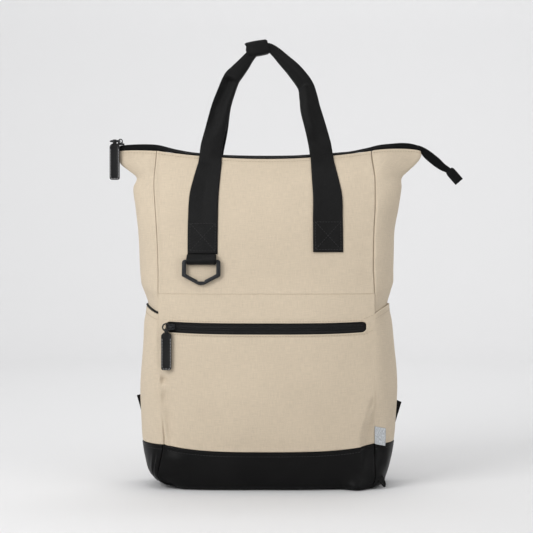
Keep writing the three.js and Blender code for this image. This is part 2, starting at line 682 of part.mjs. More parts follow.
// Turns an outline drawn in x and y into one in y and z, extruded along x
function alongX(geometry) {
  const turn = new THREE.Matrix4().makeBasis(
    new THREE.Vector3(0, 1, 0),
    new THREE.Vector3(0, 0, 1),
    new THREE.Vector3(1, 0, 0),
  );
  return geometry.applyMatrix4(turn);
}

function buildHandles() {
  const { webbing } = MATERIALS;
  add('handle_front', handle(onFront, FRONT, LEG_END_LEFT, LEG_END_RIGHT), webbing);
  add('handle_back', handle(onBack, BACK, BACK_LEG_END, BACK_LEG_END), webbing);
  const sleeve = roundedRectangle(new THREE.Shape(), WRAP.deep, WRAP.tall, WRAP.corner);
  const inner = WRAP.corner - WRAP.wall;
  const bore = new THREE.Path();
  sleeve.holes.push(roundedRectangle(bore, WRAP.deep - 2 * WRAP.wall, WRAP.tall - 2 * WRAP.wall, inner));
  const tube = alongX(extrude(sleeve, WRAP.length, { curveSegments: 3 }));
  tube.rotateY(-degToRad(WRAP.tilt)).translate(WRAP.x, 0, WRAP.z);
  const block = new THREE.BoxGeometry(WRAP_CUT.size, WRAP_CUT.size, WRAP_CUT.size);
  block.translate(-WRAP_CUT.size / 2, 0, 0);
  block.rotateY(-degToRad(WRAP_CUT.slope)).translate(WRAP_CUT.x, 0, WRAP_CUT.z);
  add('handle_wrap', fromSolid(toSolid(tube).subtract(toSolid(block))), webbing);
}

// The webbing loop: a teardrop whose upper end meets the leg of the handle
function ringLoop() {
  const outline = new THREE.Shape();
  const start = Math.asin(LOOP.start / LOOP.outer);
  outline.moveTo(LOOP.topBack, LOOP.top);
  outline.lineTo(LOOP.topFront, LOOP.top);
  outline.absarc(0, 0, LOOP.outer, Math.PI - start, 2 * Math.PI);
  outline.closePath();
  outline.holes.push(new THREE.Path().absarc(0, 0, LOOP.hole, 0, 2 * Math.PI));
  return alongX(extrude(outline, LOOP.width, { curveSegments: 10 }));
}

// The ring: straight at the top and the sides, with a blunt point below and a shallow notch inside
function hangingRing() {
  const { half, arm, bar, corner, side, drop } = RING;
  const outline = new THREE.Shape();
  const vertex = { x: half * RING_VERTEX, y: lerp(drop, side, RING_VERTEX) };
  outline.moveTo(-half, -side);
  outline.lineTo(-vertex.x, -vertex.y);
  outline.quadraticCurveTo(0, -drop, vertex.x, -vertex.y);
  outline.lineTo(half, -side);
  outline.absarc(half - corner, bar - corner, corner, 0, Math.PI / 2);
  outline.absarc(corner - half, bar - corner, corner, Math.PI / 2, Math.PI);
  outline.closePath();
  const inside = half - arm;
  const notchTop = RING_NOTCH.floor + RING_NOTCH.depth - drop;
  const hole = new THREE.Path();
  hole.moveTo(-inside, -bar);
  hole.lineTo(-inside, arm / 2 - side);
  hole.lineTo(-RING_NOTCH.half, notchTop);
  hole.lineTo(-RING_NOTCH.half, notchTop - RING_NOTCH.depth);
  hole.lineTo(RING_NOTCH.half, notchTop - RING_NOTCH.depth);
  hole.lineTo(RING_NOTCH.half, notchTop);
  hole.lineTo(inside, arm / 2 - side);
  hole.lineTo(inside, -bar);
  hole.closePath();
  outline.holes.push(hole);
  return extrude(outline, RING.thick).rotateX(Math.PI / 2);
}

// The loop and the ring face the way the front panel faces behind them
function buildRing() {
  const out = skinNormal(alongFront(RING_X, RING_Z), RING_Z);
  const seat = new THREE.Group();
  seat.position.copy(onFront(RING_X, RING_Z, RING_LIFT));
  seat.rotation.z = Math.atan2(out.x, -out.y);
  tote.add(seat);
  seat.add(add('ring_loop', ringLoop(), MATERIALS.webbing));
  const ring = add('hex_ring', hangingRing(), MATERIALS.ring);
  ring.rotation.x = -degToRad(RING_LEAN);
  seat.add(ring);
}

// A slider lying in x and y with its bail on top, and the bail's hole across the zip
function slider() {
  const base = roundedRectangle(new THREE.Shape(), SLIDER.length, SLIDER.width, SLIDER.corner);
  const plate = extrude(base, SLIDER.plate).translate(0, 0, SLIDER.plate / 2);
  const arch = new THREE.Shape();
  arch.moveTo(-BAIL.outer, -BAIL.outer - BAIL.sunk);
  arch.lineTo(BAIL.outer, -BAIL.outer - BAIL.sunk);
  arch.absarc(0, 0, BAIL.outer, 0, Math.PI);
  arch.closePath();
  arch.holes.push(new THREE.Path().absarc(0, 0, BAIL.hole, 0, 2 * Math.PI));
  const bail = extrude(arch, BAIL.wide).rotateX(Math.PI / 2).translate(0, 0, bailHeight());
  return fromSolid(toSolid(plate).add(toSolid(bail)));
}

function bailHeight() {
  return SLIDER.plate + BAIL.outer;
}

function link(radius) {
  return new THREE.TorusGeometry(radius, LINK_WIRE, 5, 12);
}

// A leather pull that hangs down from its eye at the origin
function pull() {
  const { width, thick, length, eyeHole, eyeOuter, eyeWide } = PULL;
  const corner = PULL_CORNER;
  const side = new THREE.Shape();
  const turn = Math.asin(thick / 2 / eyeOuter);
  side.moveTo(-thick / 2, -length);
  side.lineTo(thick / 2, -length);
  side.absarc(0, 0, eyeOuter, -Math.PI / 2 + turn, 1.5 * Math.PI - turn);
  side.closePath();
  side.holes.push(new THREE.Path().absarc(0, 0, eyeHole, 0, 2 * Math.PI));
  const front = new THREE.Shape();
  front.moveTo(-eyeWide / 2, 2 * eyeOuter);
  front.lineTo(-eyeWide / 2, -eyeOuter);
  front.quadraticCurveTo(-width / 2, -PULL_SHOULDER.high, -width / 2, -PULL_SHOULDER.low);
  front.absarc(corner - width / 2, corner - length, corner, Math.PI, 1.5 * Math.PI);
  front.absarc(width / 2 - corner, corner - length, corner, 1.5 * Math.PI, 2 * Math.PI);
  front.lineTo(width / 2, -PULL_SHOULDER.low);
  front.quadraticCurveTo(width / 2, -PULL_SHOULDER.high, eyeWide / 2, -eyeOuter);
  front.lineTo(eyeWide / 2, 2 * eyeOuter);
  front.closePath();
  const leather = toSolid(alongX(extrude(side, 2 * width)));
  const outline = toSolid(extrude(front, 4 * eyeOuter).rotateX(Math.PI / 2));
  return fromSolid(leather.intersect(outline));
}

// How far off the middle of a hole a link's wire hangs when it just clears the hole's edge. The wire
// bends away over the width of the hole.
function hang(hole, wide, radius) {
  const bend = radius - Math.sqrt(radius * radius - wide * wide / 4);
  return hole - LINK_WIRE - SEAM_GAP - bend;
}

function linkDrop(radius) {
  return hang(BAIL.hole, BAIL.wide, radius);
}

function pullDrop(radius) {
  return hang(PULL.eyeHole, PULL.eyeWide, radius);
}

function buildPocketZip() {
  const { tape, ring, leather } = MATERIALS;
  add('pocket_zip', pocketTape(), tape);
  const seat = onFront(POCKET_SLIDER_X, POCKET_ZIP_Z, ZIP_RIDGE - ZIP_SEAT);
  const lean = skinNormal(alongFront(POCKET_SLIDER_X, POCKET_ZIP_Z), POCKET_ZIP_Z);
  const lift = SEAM_GAP + SLIDER.length / 2 * Math.abs(lean.x / lean.y);
  const plateY = seat.y - lift;
  const body = add('pocket_slider', slider(), ring);
  body.position.set(POCKET_SLIDER_X, plateY, seat.z);
  body.rotation.x = Math.PI / 2;
  const ringY = plateY - bailHeight();
  const ringX = POCKET_SLIDER_X - POCKET_LINK - linkDrop(POCKET_LINK);
  const wire = add('pocket_link', link(POCKET_LINK), ring);
  wire.position.set(ringX, ringY, seat.z);
  wire.rotation.x = Math.PI / 2;
  const tab = add('pocket_pull', pull(), leather);
  tab.position.set(ringX, ringY, seat.z - POCKET_LINK - pullDrop(POCKET_LINK));
}

function buildTopZip() {
  const { tape, ring, leather } = MATERIALS;
  add('top_zip', topTape(), tape);
  const tail = ZIP_TAIL.map((row) => ({ ...row, y: 0, thick: ZIP_TAIL_THICK }));
  add('zip_tail', strip(freeRows(tail, new THREE.Vector3(0, FRONT, 0), 2)), tape);
  const end = END_TAB.map((row) => ({ ...row, y: 0, thick: END_TAB_THICK }));
  add('zip_end_tab', strip(freeRows(end, new THREE.Vector3(0, FRONT, 0), 2)), leather);
  const ends = [-SLIDER.length / 2, 0, SLIDER.length / 2].map((off) => topZipCrest(TOP_SLIDER_X + off));
  const plateZ = Math.max(...ends) + SEAM_GAP;
  const body = add('top_slider', slider(), ring);
  body.position.set(TOP_SLIDER_X, 0, plateZ);
  const lean = degToRad(TOP_LINK_LEAN);
  const ringX = TOP_SLIDER_X - TOP_LINK - linkDrop(TOP_LINK);
  const ringZ = plateZ + bailHeight();
  const wire = add('top_link', link(TOP_LINK), ring);
  wire.position.set(ringX, 0, ringZ);
  wire.rotation.x = lean;
  const tab = add('top_pull', pull(), leather);
  const pullZ = ringZ - TOP_LINK * Math.sin(lean) - pullDrop(TOP_LINK);
  tab.position.set(ringX, -TOP_LINK * Math.cos(lean), pullZ);
}

function buildLabel() {
  const at = (lift) => (t, row) => {
    const z = lerp(LABEL.low, LABEL.high, row) - LABEL.lean * t;
    return behindSkin(1 + lerp(LABEL.from, LABEL.to, t), z, -lift);
  };
  const ribbon = wall(steps(0, 1, 3), steps(0, 1, 3), at(LABEL.lift + LABEL.thick), at(LABEL.lift));
  add('label_tab', ribbon, MATERIALS.label);
}

// The anchor tab's middle: on the back panel as far as its seam, then straight on to its outer end
function anchorY(hand, x, z) {
  const seam = seamAt(hand, z);
  const atSeam = onBack(hand * seam, z, SEWN_LIFT + WEBBING / 2).y;
  if (x <= seam) return onBack(hand * x, z, SEWN_LIFT + WEBBING / 2).y;
  return lerp(atSeam, ANCHOR_OUTER_Y, (x - seam) / (ANCHOR.outer - seam));
}

function anchorTab(hand) {
  const at = (offset) => (t, row) => {
    const outerX = lerp(ANCHOR.outerFoot, ANCHOR.outer, row);
    const x = lerp(ANCHOR.inner, outerX, t);
    const z = lerp(lerp(ANCHOR.innerLow, ANCHOR.innerHigh, row), lerp(ANCHOR.low, ANCHOR.high, row), t);
    return new THREE.Vector3(hand * x, anchorY(hand, x, z) + offset, z);
  };
  return wall(steps(0, 1, 6), steps(0, 1, 3), at(WEBBING / 2), at(-WEBBING / 2));
}

// The adjuster: a flat frame with bars across it
function adjuster() {
  const { width, tall, thick, rim, bars, barTall, corner } = ADJUSTER;
  const frame = roundedRectangle(new THREE.Shape(), width, tall, corner);
  const slotTall = (tall - 2 * rim - bars * barTall) / (bars + 1);
  for (let i = 0; i <= bars; i += 1) {
    const low = -tall / 2 + rim + i * (slotTall + barTall);
    const half = width / 2 - rim;
    const slot = new THREE.Path();
    slot.moveTo(-half, low);
    slot.lineTo(-half, low + slotTall);
    slot.lineTo(half, low + slotTall);
    slot.lineTo(half, low);
    slot.closePath();
    frame.holes.push(slot);
  }
  return extrude(frame, thick);
}

function buildShoulderStrap(side, hand) {
  const { webbing, padding, plastic } = MATERIALS;
  const face = new THREE.Vector3(0, BACK, 0);
  const mirror = (row) => ({ ...row, x: hand * row.x });
  const sewn = PAD_TOP.map((row) => sewnRow(onBack, hand * row.x, row.z, row.width, row.thick, PAD_EDGE));
  const free = freeRows(PAD.map(mirror), face, 2, PAD_EDGE);
  add(`strap_pad_${side}`, strip([...sewn, ...free]), padding);

  // The adjuster lies in line with the pad's end and the webbing below it
  const [above, padEnd] = PAD.slice(-2).map((row) => new THREE.Vector3(hand * row.x, row.y, row.z));
  const down = padEnd.clone().sub(above).normalize();
  const across = down.clone().cross(face).normalize();
  const out = across.clone().cross(down).normalize();
  const clear = SEAM_GAP + ADJUSTER.tall / 2 + PAD_END_ROOM;
  const lock = add(`ladder_lock_${side}`, adjuster(), plastic);
  const middle = padEnd.clone().addScaledVector(down, clear);
  lock.applyMatrix4(new THREE.Matrix4().makeBasis(across, down, out).setPosition(middle));

  const webTop = middle.clone().addScaledVector(down, ADJUSTER.tall / 2 + STRAP_WEB_ROOM);
  const webBend = webTop.clone().addScaledVector(down, STRAP_WEB_STRAIGHT);
  const endY = anchorY(hand, STRAP_WEB_END.x, STRAP_WEB_END.z) + WEBBING + 3 * SEWN_LIFT;
  const route = [
    { x: hand * webTop.x, y: webTop.y, z: webTop.z },
    { x: hand * webBend.x, y: webBend.y, z: webBend.z },
    ...STRAP_WEB,
    { ...STRAP_WEB_END, y: endY },
  ].map((row) => ({ ...mirror(row), width: STRAP_WIDTH, thick: WEBBING }));
  add(`strap_web_${side}`, strip(freeRows(route, face, 2)), webbing);
  add(`strap_anchor_${side}`, anchorTab(hand), webbing);
}

buildBody();
buildTopZip();
buildPocketZip();
buildHandles();
buildRing();
buildLabel();
buildShoulderStrap('right', 1);
buildShoulderStrap('left', -1);

export default tote;
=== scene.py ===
"""A canvas backpack tote, dressed piece by piece round the fixed solids of the part.

The tables below are in millimetres in the part's own frame: +Z up, the front faces -Y.
"""

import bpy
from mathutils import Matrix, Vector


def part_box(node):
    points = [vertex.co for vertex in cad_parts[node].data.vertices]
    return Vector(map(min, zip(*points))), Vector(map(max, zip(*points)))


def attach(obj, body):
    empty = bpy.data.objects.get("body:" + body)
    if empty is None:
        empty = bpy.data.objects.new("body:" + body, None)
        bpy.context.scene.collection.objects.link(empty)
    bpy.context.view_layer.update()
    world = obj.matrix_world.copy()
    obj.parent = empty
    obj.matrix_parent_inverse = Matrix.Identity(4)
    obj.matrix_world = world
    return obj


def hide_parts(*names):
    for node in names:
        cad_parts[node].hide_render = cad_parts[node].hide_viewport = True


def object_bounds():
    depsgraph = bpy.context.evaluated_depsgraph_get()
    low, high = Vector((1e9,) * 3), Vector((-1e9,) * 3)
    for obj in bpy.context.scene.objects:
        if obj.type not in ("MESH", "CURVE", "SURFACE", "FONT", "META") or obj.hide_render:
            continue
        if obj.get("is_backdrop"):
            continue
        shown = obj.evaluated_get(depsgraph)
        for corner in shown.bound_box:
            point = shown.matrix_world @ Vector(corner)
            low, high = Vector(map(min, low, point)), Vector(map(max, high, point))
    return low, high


bl_info = {
    "name": "Backpack Tote",
    "version": (1, 0, 0),
    "blender": (4, 5, 0),
    "location": "View3D > Sidebar > Tote",
    "description": "Dresses a canvas backpack tote: panels, leather base, zips, handles, ring and straps",
    "category": "Object",
}

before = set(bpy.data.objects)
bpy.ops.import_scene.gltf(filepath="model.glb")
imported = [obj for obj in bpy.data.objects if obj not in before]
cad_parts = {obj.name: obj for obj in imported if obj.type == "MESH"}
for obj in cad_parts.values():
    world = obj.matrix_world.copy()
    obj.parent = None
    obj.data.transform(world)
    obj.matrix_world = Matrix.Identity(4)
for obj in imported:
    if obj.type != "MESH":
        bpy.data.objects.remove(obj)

import bmesh
import bpy
import numpy as np
from bpy.props import FloatProperty, FloatVectorProperty, PointerProperty
from bpy.types import Operator, Panel, PropertyGroup
from mathutils import Vector

CAD_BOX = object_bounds()
MM = 0.001
FRONT, BACK = -1, 1
RIGHT, LEFT = 1, -1

# Sides of the bag: name, number on the way round it, and hand. Walls of its base: name and number
SIDES = (("right", 1, RIGHT), ("left", 3, LEFT))
WALLS = (("front", 0), ("right", 1), ("back", 2), ("left", 3))

# Clear distance between sewn pieces, and under webbing that lies on the cloth
SEAM_GAP = 0.3
SEWN_LIFT = 0.4
WEBBING_WIDTH = 38
STRAP_WIDTH = 25

# Heights of the seams and the sag of the cloth's edges
BASE_TOP = 57.5
POCKET_TOP = 248
MOUTH = 432
FRONT_SAG = 8
FRONT_SAG_POWER = 3.5
MOUTH_SAG = {FRONT: 11.3, BACK: 6.3}
MOUTH_SAG_FROM = 330
FRONT_SAG_RISE = (10, 50)
FRONT_SAG_FADE = (120, 270)

# The body's sections: half widths of the whole and of the panels, half depth, bulges and pinch
SECTION_COLUMNS = ("left", "right", "seam_left", "seam_right", "depth", "front", "back", "pinch")
SECTIONS = (
    (0, 136, 141, 125, 125, 44, 4, 3, 1),
    (4, 145, 150, 132, 132, 50, 7, 4, 1),
    (12, 150, 153.5, 136, 136, 53, 10, 5, 1),
    (28, 155.5, 158.5, 135, 137, 55, 13, 6, 1),
    (57.5, 161, 164.5, 131, 136, 56, 16, 6, 1),
    (85, 163, 166.5, 132.5, 136, 57, 18, 6, 1),
    (130, 164, 168.5, 135, 136, 57, 20, 7, 1),
    (180, 160.5, 165, 136.5, 136, 56, 19, 7, 1),
    (212, 158.3, 162, 137, 136, 55, 17, 7, 1),
    (234, 156, 158.3, 137, 136, 53.5, 15, 7, 1),
    (250, 161, 162.5, 137.5, 136, 52, 13.5, 7, 1),
    (285, 165, 163.8, 138, 135, 48.5, 12, 7, 1),
    (330, 167.5, 166, 140.5, 136.5, 41, 11, 8, 1),
    (360, 171, 171.5, 143, 138.5, 33.5, 10, 8, 1),
    (385, 173.5, 175, 145, 139, 25.5, 9, 8, 1.1),
    (398, 169.5, 176, 145, 139, 20, 9, 8.5, 1.5),
    (407, 180, 185.5, 144.5, 138, 15.5, 9, 9, 2),
    (415, 190, 194.5, 144, 137, 11, 9, 9, 2.4),
    (424, 192, 201, 143.5, 136, 7, 9, 9, 2.5),
    (432, 192, 202, 143, 135.5, 5, 9, 9, 2.5),
)
FULL_PINCH = 2.5
# Powers that shape the bulge of the front and back, and the round of the sides
CROWN_POWER = 2.4
SIDE_POWER = 1.35
# The ears at both ends of the mouth: depth and turn of their fold, rise of their layers and the height
# where it starts, clear distance between the layers, and how far the right ear leans to the back
EAR_FOLD = 2
EAR_TURN = 0.3
EAR_RISE = {LEFT: 0.8, RIGHT: 3.5}
EAR_RISE_FROM = 385
EAR_CLEARANCE = 0.25
EAR_BACK = 10
# The ranges of x and z in which it leans
EAR_LEAN_X = (138, 203)
EAR_LEAN_Z = (378, 414)

# Dents of the front: x, z, half width, half height, lean in degrees, depth
DENTS = (
    (-125, 92, 8, 34, 0, 4),
)
DENT_FADE = 30

# Slip pockets on the sides: height of the mouth at the seams, its rise to the middle and the power of its
# curve, how deep the side lies behind them, and how far above the mouth it comes forward again
SLIP_MOUTH = 222
SLIP_RISE = {RIGHT: 12.5, LEFT: 9.5}
SLIP_POWER = {RIGHT: 1.1, LEFT: 1.7}
SLIP_DEPTH = 2.2
SLIP_BLEND = (14, 30)
SIDE_SEAM_INSET = 0.008
# The black binding of the left mouth
BINDING_HEIGHT = 2.3
BINDING_THICK = 2
BINDING_SWELL = 0.5
BINDING_INSET = 0.03
BINDING_RISES = (0, 0.3, 0.7, 1.15, 1.6, 2, BINDING_HEIGHT)

# The front pocket's zip
ZIP_Z = 207
ZIP_LEFT = -128
ZIP_RIGHT = 126
SLOT_HALF = 6.5
ZIP_TAPE_HALF = 11
ZIP_RIDGE = 1.2
ZIP_TAPE_MARGIN = 5

# The top zip: its ends, and its height above the cloth's edge as x, height
TOP_ZIP_LEFT = -197
TOP_ZIP_RIGHT = 203
TOP_ZIP_HALF = 3
TOP_ZIP_ARCH = (
    (-197, 3.6),
    (-165, 5.4),
    (-137, 5.4),
    (-114, 2.4),
    (-94, 0.6),
    (0, 0.4),
    (94, 0.6),
    (116, 1.2),
    (136, 2.6),
    (155, 4.2),
    (185, 5.2),
    (203, 2.6),
)
# Rows of the free end: x, z, width
ZIP_TAIL = (
    (192, 438.8, 4.5),
    (199, 437.2, 5.5),
    (204.5, 433, 9),
    (210, 428, 11.5),
    (221, 419, 12),
    (229, 412.5, 10),
    (236.4, 408.2, 8),
    (241, 404.8, 7),
)
ZIP_TAIL_THICK = 2.4
END_TAB = (
    (237.9, 408.4, 10),
    (241, 404.7, 12.5),
    (251.4, 392.6, 12.5),
)
END_TAB_THICK = 3.4

# Leather pulls: outline and eye
PULL_WIDTH = 13
PULL_THICK = 3.2
PULL_LENGTH = 49
PULL_CORNER = 3
PULL_SHOULDER = (2.2, 6.2)
PULL_NECK = 7.6
PULL_EYE = {"hole": 2, "outer": 3.4, "wide": 4.6}
# Wire links: radius of the wire, then for each link its radius and its lean from lying flat
LINK_WIRE = 0.95
LINKS = {"pocket": {"radius": 4.6, "lean": 90}, "top": {"radius": 6.2, "lean": 12}}

# Rows of the handles' legs: z, left, right, width
LEGS = (
    (296, -81, 77, 38),
    (340, -81, 77, 38),
    (377, -80, 77, 37),
    (400, -77, 74.5, 34),
    (424, -73.3, 71.6, 30),
)
LEG_END_LEFT = 297.3
LEG_END_RIGHT = 300
BACK_LEG_END = 332
LEG_TOP = 424
# Rows of the front handle's way over the top: x, y, z, width, thickness
ARCH = (
    (-71.5, -14.6, 438, 28, 2),
    (-66.5, -12.5, 460, 26.5, 2.2),
    (-60, -9.8, 487, 25, 2.6),
    (-55, -8, 503, 23, 3),
    (-46.5, -6.2, 525, 21.5, 3.4),
    (-39, -4.6, 534.5, 19.5, 3.8),
    (-31, -3.2, 544, 17, 4),
    (-24, -2.5, 553, 14, 4),
    (-18, -2.5, 559.6, 12.5, 4),
    (-9.5, -2.5, 565.4, 10.6, 4),
    (1.5, -2.5, 567.2, 10.2, 4),
    (11.5, -2.8, 560.6, 13, 4),
    (22.6, -3.8, 549.6, 16, 4),
    (36, -5.2, 536, 19, 3.8),
    (49.4, -6.8, 518, 20.5, 3.2),
    (53.6, -8.2, 503, 23.2, 2.8),
    (56.3, -10, 487, 25.5, 2.4),
    (60.7, -11.6, 471, 26.3, 2.2),
    (64.9, -13.2, 455.5, 27, 2),
    (68.6, -14.6, 440, 28, 2),
)
ARCH_LOW = 424
BACK_LEAN = 0.035
BACK_LEAN_TOP = 480
# The sleeve round the grips, the power that squares its section, its slanted cut and its uneven ends
WRAP = {"x": -12.7, "z": 565.4, "tilt": 10, "length": 28, "tall": 19.4, "deep": 14, "wall": 1.6}
WRAP_SQUARE = 5.0
WRAP_CUT = {"x": -27, "z": 560.3, "slope": 37}
WRAP_UNEVEN = 1.1

# The ring's bar: x, z and distance from the cloth, and the webbing loop that carries it
RING_X = -82
RING_Z = 288
RING_LIFT = 5.4
LOOP = {"width": 37, "hole": 3, "top": 8, "top_front": 1.6, "top_back": 5.2}
# The loop's way down behind the ring's bar, as heights, and up in front of it, as depth and height,
# and how far its front end lies forward
LOOP_BACK = (5.5, 3, 1.2)
LOOP_FRONT = ((-3.4, 2.2), (-1.4, 4.9))
LOOP_FORWARD = 0.6

# The grey ribbon in the right front seam
LABEL = {"from": 0.008, "to": 0.185, "low": 57.5, "high": 80, "lean": 3, "lift": 0.4, "thick": 0.8,
         "curl": 0.9, "wave": 0.25, "waves": 5, "inner": 0.9}

# Rows of a shoulder pad: sewn ones as z, x, width, thickness, free ones as x, y, z, width, thickness
PAD_TOP = (
    (402, 31, 46, 5),
    (390, 33, 47, 6),
)
PAD = (
    (37, 46.5, 374, 50, 8),
    (50, 66, 338, 56, 9),
    (61, 82, 295, 58, 9),
    (71, 89, 245, 56, 9),
    (80, 87, 200, 52, 9),
    (93, 80, 166, 44, 8),
)
# Room between a pad's end and its adjuster, and the adjuster's height
PAD_END_ROOM = 1.5
ADJUSTER_TALL = 22
# Anchor tabs: the inner edge's x and z, the depth of the outer edge, and each outer edge's x and z
ANCHOR = {"inner": 126, "inner_low": 60, "inner_high": 122, "outer_y": 51.5}
ANCHOR_TIP = {
    LEFT: {"outer": 174, "foot": 165, "low": 78, "high": 110},
    RIGHT: {"outer": 180, "foot": 171, "low": 71, "high": 101},
}
# The straps' webbing: points x, y, z on its way, room below the adjuster, straight length, and x, z of
# its end
STRAP_WEB = ((120, 69, 119), (140, 62.5, 102))
STRAP_WEB_ROOM = 0.9
STRAP_WEB_STRAIGHT = 12
STRAP_WEB_END = (153, 94)


def length_property(name, description, default):
    return FloatProperty(name=name, description=description, default=default, unit="LENGTH", precision=4)


class ToteSizes(PropertyGroup):
    """Sizes of the cloth, webbing and thread"""

    canvas: length_property("Canvas", "Thickness of the canvas", 1.6 * MM)
    leather: length_property("Leather", "Thickness of the base's leather", 2 * MM)
    webbing: length_property("Webbing", "Thickness of the handles' webbing", 1.8 * MM)
    tape: length_property("Zip Tape", "Thickness of the zips' tape", 1.2 * MM)
    thread: length_property("Thread", "Thickness of the sewing thread", 0.7 * MM)
    stitch: length_property("Stitch", "Length of one stitch", 2.6 * MM)
    stitch_gap: length_property("Stitch Gap", "Gap between two stitches", 1 * MM)
    pucker: length_property("Pucker", "Height of the puckers along the seams", 0.7 * MM)
    weave: length_property("Weave", "Distance between two threads of the canvas", 0.9 * MM)


def colour_property(name, description, default):
    return FloatVectorProperty(
        name=name, description=description, default=default, size=3, subtype="COLOR", min=0, max=1)


class ToteColours(PropertyGroup):
    """Colours of the finishes, in linear light"""

    canvas: colour_property("Canvas", "Beige cotton canvas", (0.565, 0.478, 0.365))
    leather: colour_property("Leather", "Black leather of the base", (0.0066, 0.0066, 0.0067))
    webbing: colour_property("Webbing", "Black webbing", (0.0032, 0.0032, 0.0033))
    tape: colour_property("Zip Tape", "Black zip tape", (0.005, 0.005, 0.0052))
    pull: colour_property("Pull Leather", "Dark leather of the pulls", (0.0095, 0.0095, 0.0097))
    metal: colour_property("Ring Metal", "Dark grey satin metal", (0.024, 0.025, 0.027))
    label: colour_property("Label", "Grey ribbon", (0.47, 0.49, 0.51))
    padding: colour_property("Padding", "Black cover of the shoulder pads", (0.013, 0.013, 0.014))
    plastic: colour_property("Plastic", "Black plastic of the adjusters", (0.012, 0.012, 0.012))
    # The canvas thread's colour is partly the thread's own tone and partly painted shade: it is darkened to
    # stand for the shade in the stitch holes
    canvas_thread: colour_property("Canvas Thread", "Thread on the canvas", (0.42, 0.345, 0.25))
    dark_thread: colour_property("Dark Thread", "Thread on the webbing", (0.013, 0.013, 0.0135))
    base_thread: colour_property("Base Thread", "Thread on the base", (0.007, 0.007, 0.0072))
    pull_thread: colour_property("Pull Thread", "Thread round the pulls", (0.36, 0.36, 0.36))
    floor: colour_property("Floor", "Pale floor and backdrop", (0.69, 0.69, 0.695))


# Curves and surfaces

def smooth_table(rows):
    """A smooth curve through the rows of a table, read at values of its first column."""
    table = np.array(rows, float)
    keys, values = table[:, 0], table[:, 1:]
    steps = np.diff(values, axis=0) / np.diff(keys)[:, None]
    slopes = np.vstack([steps[:1], (steps[:-1] + steps[1:]) / 2, steps[-1:]])

    def at(place):
        place = np.clip(np.asarray(place, float), keys[0], keys[-1])
        i = np.clip(np.searchsorted(keys, place, side="right") - 1, 0, len(keys) - 2)
        span = (keys[i + 1] - keys[i])[..., None]
        p = (place - keys[i])[..., None] / span
        q = 1 - p
        start = q * q * ((1 + 2 * p) * values[i] + p * span * slopes[i])
        end = p * p * ((1 + 2 * q) * values[i + 1] - q * span * slopes[i + 1])
        return start + end

    return at


def smoothstep(x, low, high):
    """0 below a range, 1 above it, with a smooth rise between."""
    t = np.clip((x - low) / (high - low), 0, 1)
    return t * t * (3 - 2 * t)


NOISE_CELLS = 64


def soft_noise(u, v, seed):
    """Smooth noise between about -1 and 1, with features one unit across."""
    lattice = np.random.default_rng(seed).uniform(-1, 1, (NOISE_CELLS, NOISE_CELLS))
    u, v = np.broadcast_arrays(np.asarray(u, float), np.asarray(v, float))
    i, j = np.floor(u).astype(int), np.floor(v).astype(int)
    p, q = smoothstep(u - i, 0, 1), smoothstep(v - j, 0, 1)

    def corner(di, dj):
        return lattice[(i + di) % NOISE_CELLS, (j + dj) % NOISE_CELLS]

    low = corner(0, 0) * (1 - p) + corner(1, 0) * p
    high = corner(0, 1) * (1 - p) + corner(1, 1) * p
    return low * (1 - q) + high * q


def unit(vectors):
    """Vectors of length 1."""
    return vectors / np.maximum(np.linalg.norm(vectors, axis=-1, keepdims=True), 1e-12)


def lengths(points, axis):
    """Distance along a grid from its first row or column."""
    gaps = np.linalg.norm(np.diff(points, axis=axis), axis=-1)
    start = np.zeros_like(np.take(gaps, [0], axis=axis))
    return np.concatenate([start, np.cumsum(gaps, axis=axis)], axis=axis)


section_table = smooth_table(SECTIONS)
top_arch_table = smooth_table(TOP_ZIP_ARCH)
leg_table = smooth_table(LEGS)


def section(z):
    """The body's measures at a height, by the names of the table's columns."""
    values = section_table(z)
    return {name: values[..., i] for i, name in enumerate(SECTION_COLUMNS)}


def seam_at(x, z):
    """Distance of the seam from the middle, on the side where x lies."""
    cut = section(z)
    return np.where(np.asarray(x) < 0, cut["seam_left"], cut["seam_right"])


def fold_heights(folds, x, z):
    """Heights of small folds, from rows of x, z, half width, half height, lean in degrees, height."""
    total = 0
    for at_x, at_z, wide, tall, lean, height in folds:
        c, s = np.cos(np.radians(lean)), np.sin(np.radians(lean))
        across, along = (x - at_x) * c + (z - at_z) * s, (z - at_z) * c - (x - at_x) * s
        total = total + height * np.exp(-(across / wide) ** 2 - (along / tall) ** 2)
    return total


def face_point(u, z, toward):
    """Points of the front or back panel, u from -1 at the left seam to 1 at the right one."""
    cut = section(z)
    x = u * seam_at(u, z)
    off = np.abs(u)
    crown = 1 - off ** CROWN_POWER
    sag = MOUTH_SAG[toward] * (1 - u * u) * smoothstep(z, MOUTH_SAG_FROM, MOUTH)
    if toward == BACK:
        bulge = cut["back"] * crown
    else:
        bulge = cut["front"] * crown - fold_heights(DENTS, x, z) * (1 - off ** DENT_FADE)
        hang = smoothstep(z, *FRONT_SAG_RISE) * (1 - smoothstep(z, *FRONT_SAG_FADE))
        sag = sag + FRONT_SAG * (1 - off ** FRONT_SAG_POWER) * hang
    return np.stack([x, toward * (cut["depth"] + bulge), z - sag], axis=-1)


def ear_back(x, z):
    """How far the right ear leans to the back."""
    return EAR_BACK * smoothstep(x, *EAR_LEAN_X) * smoothstep(z, *EAR_LEAN_Z)


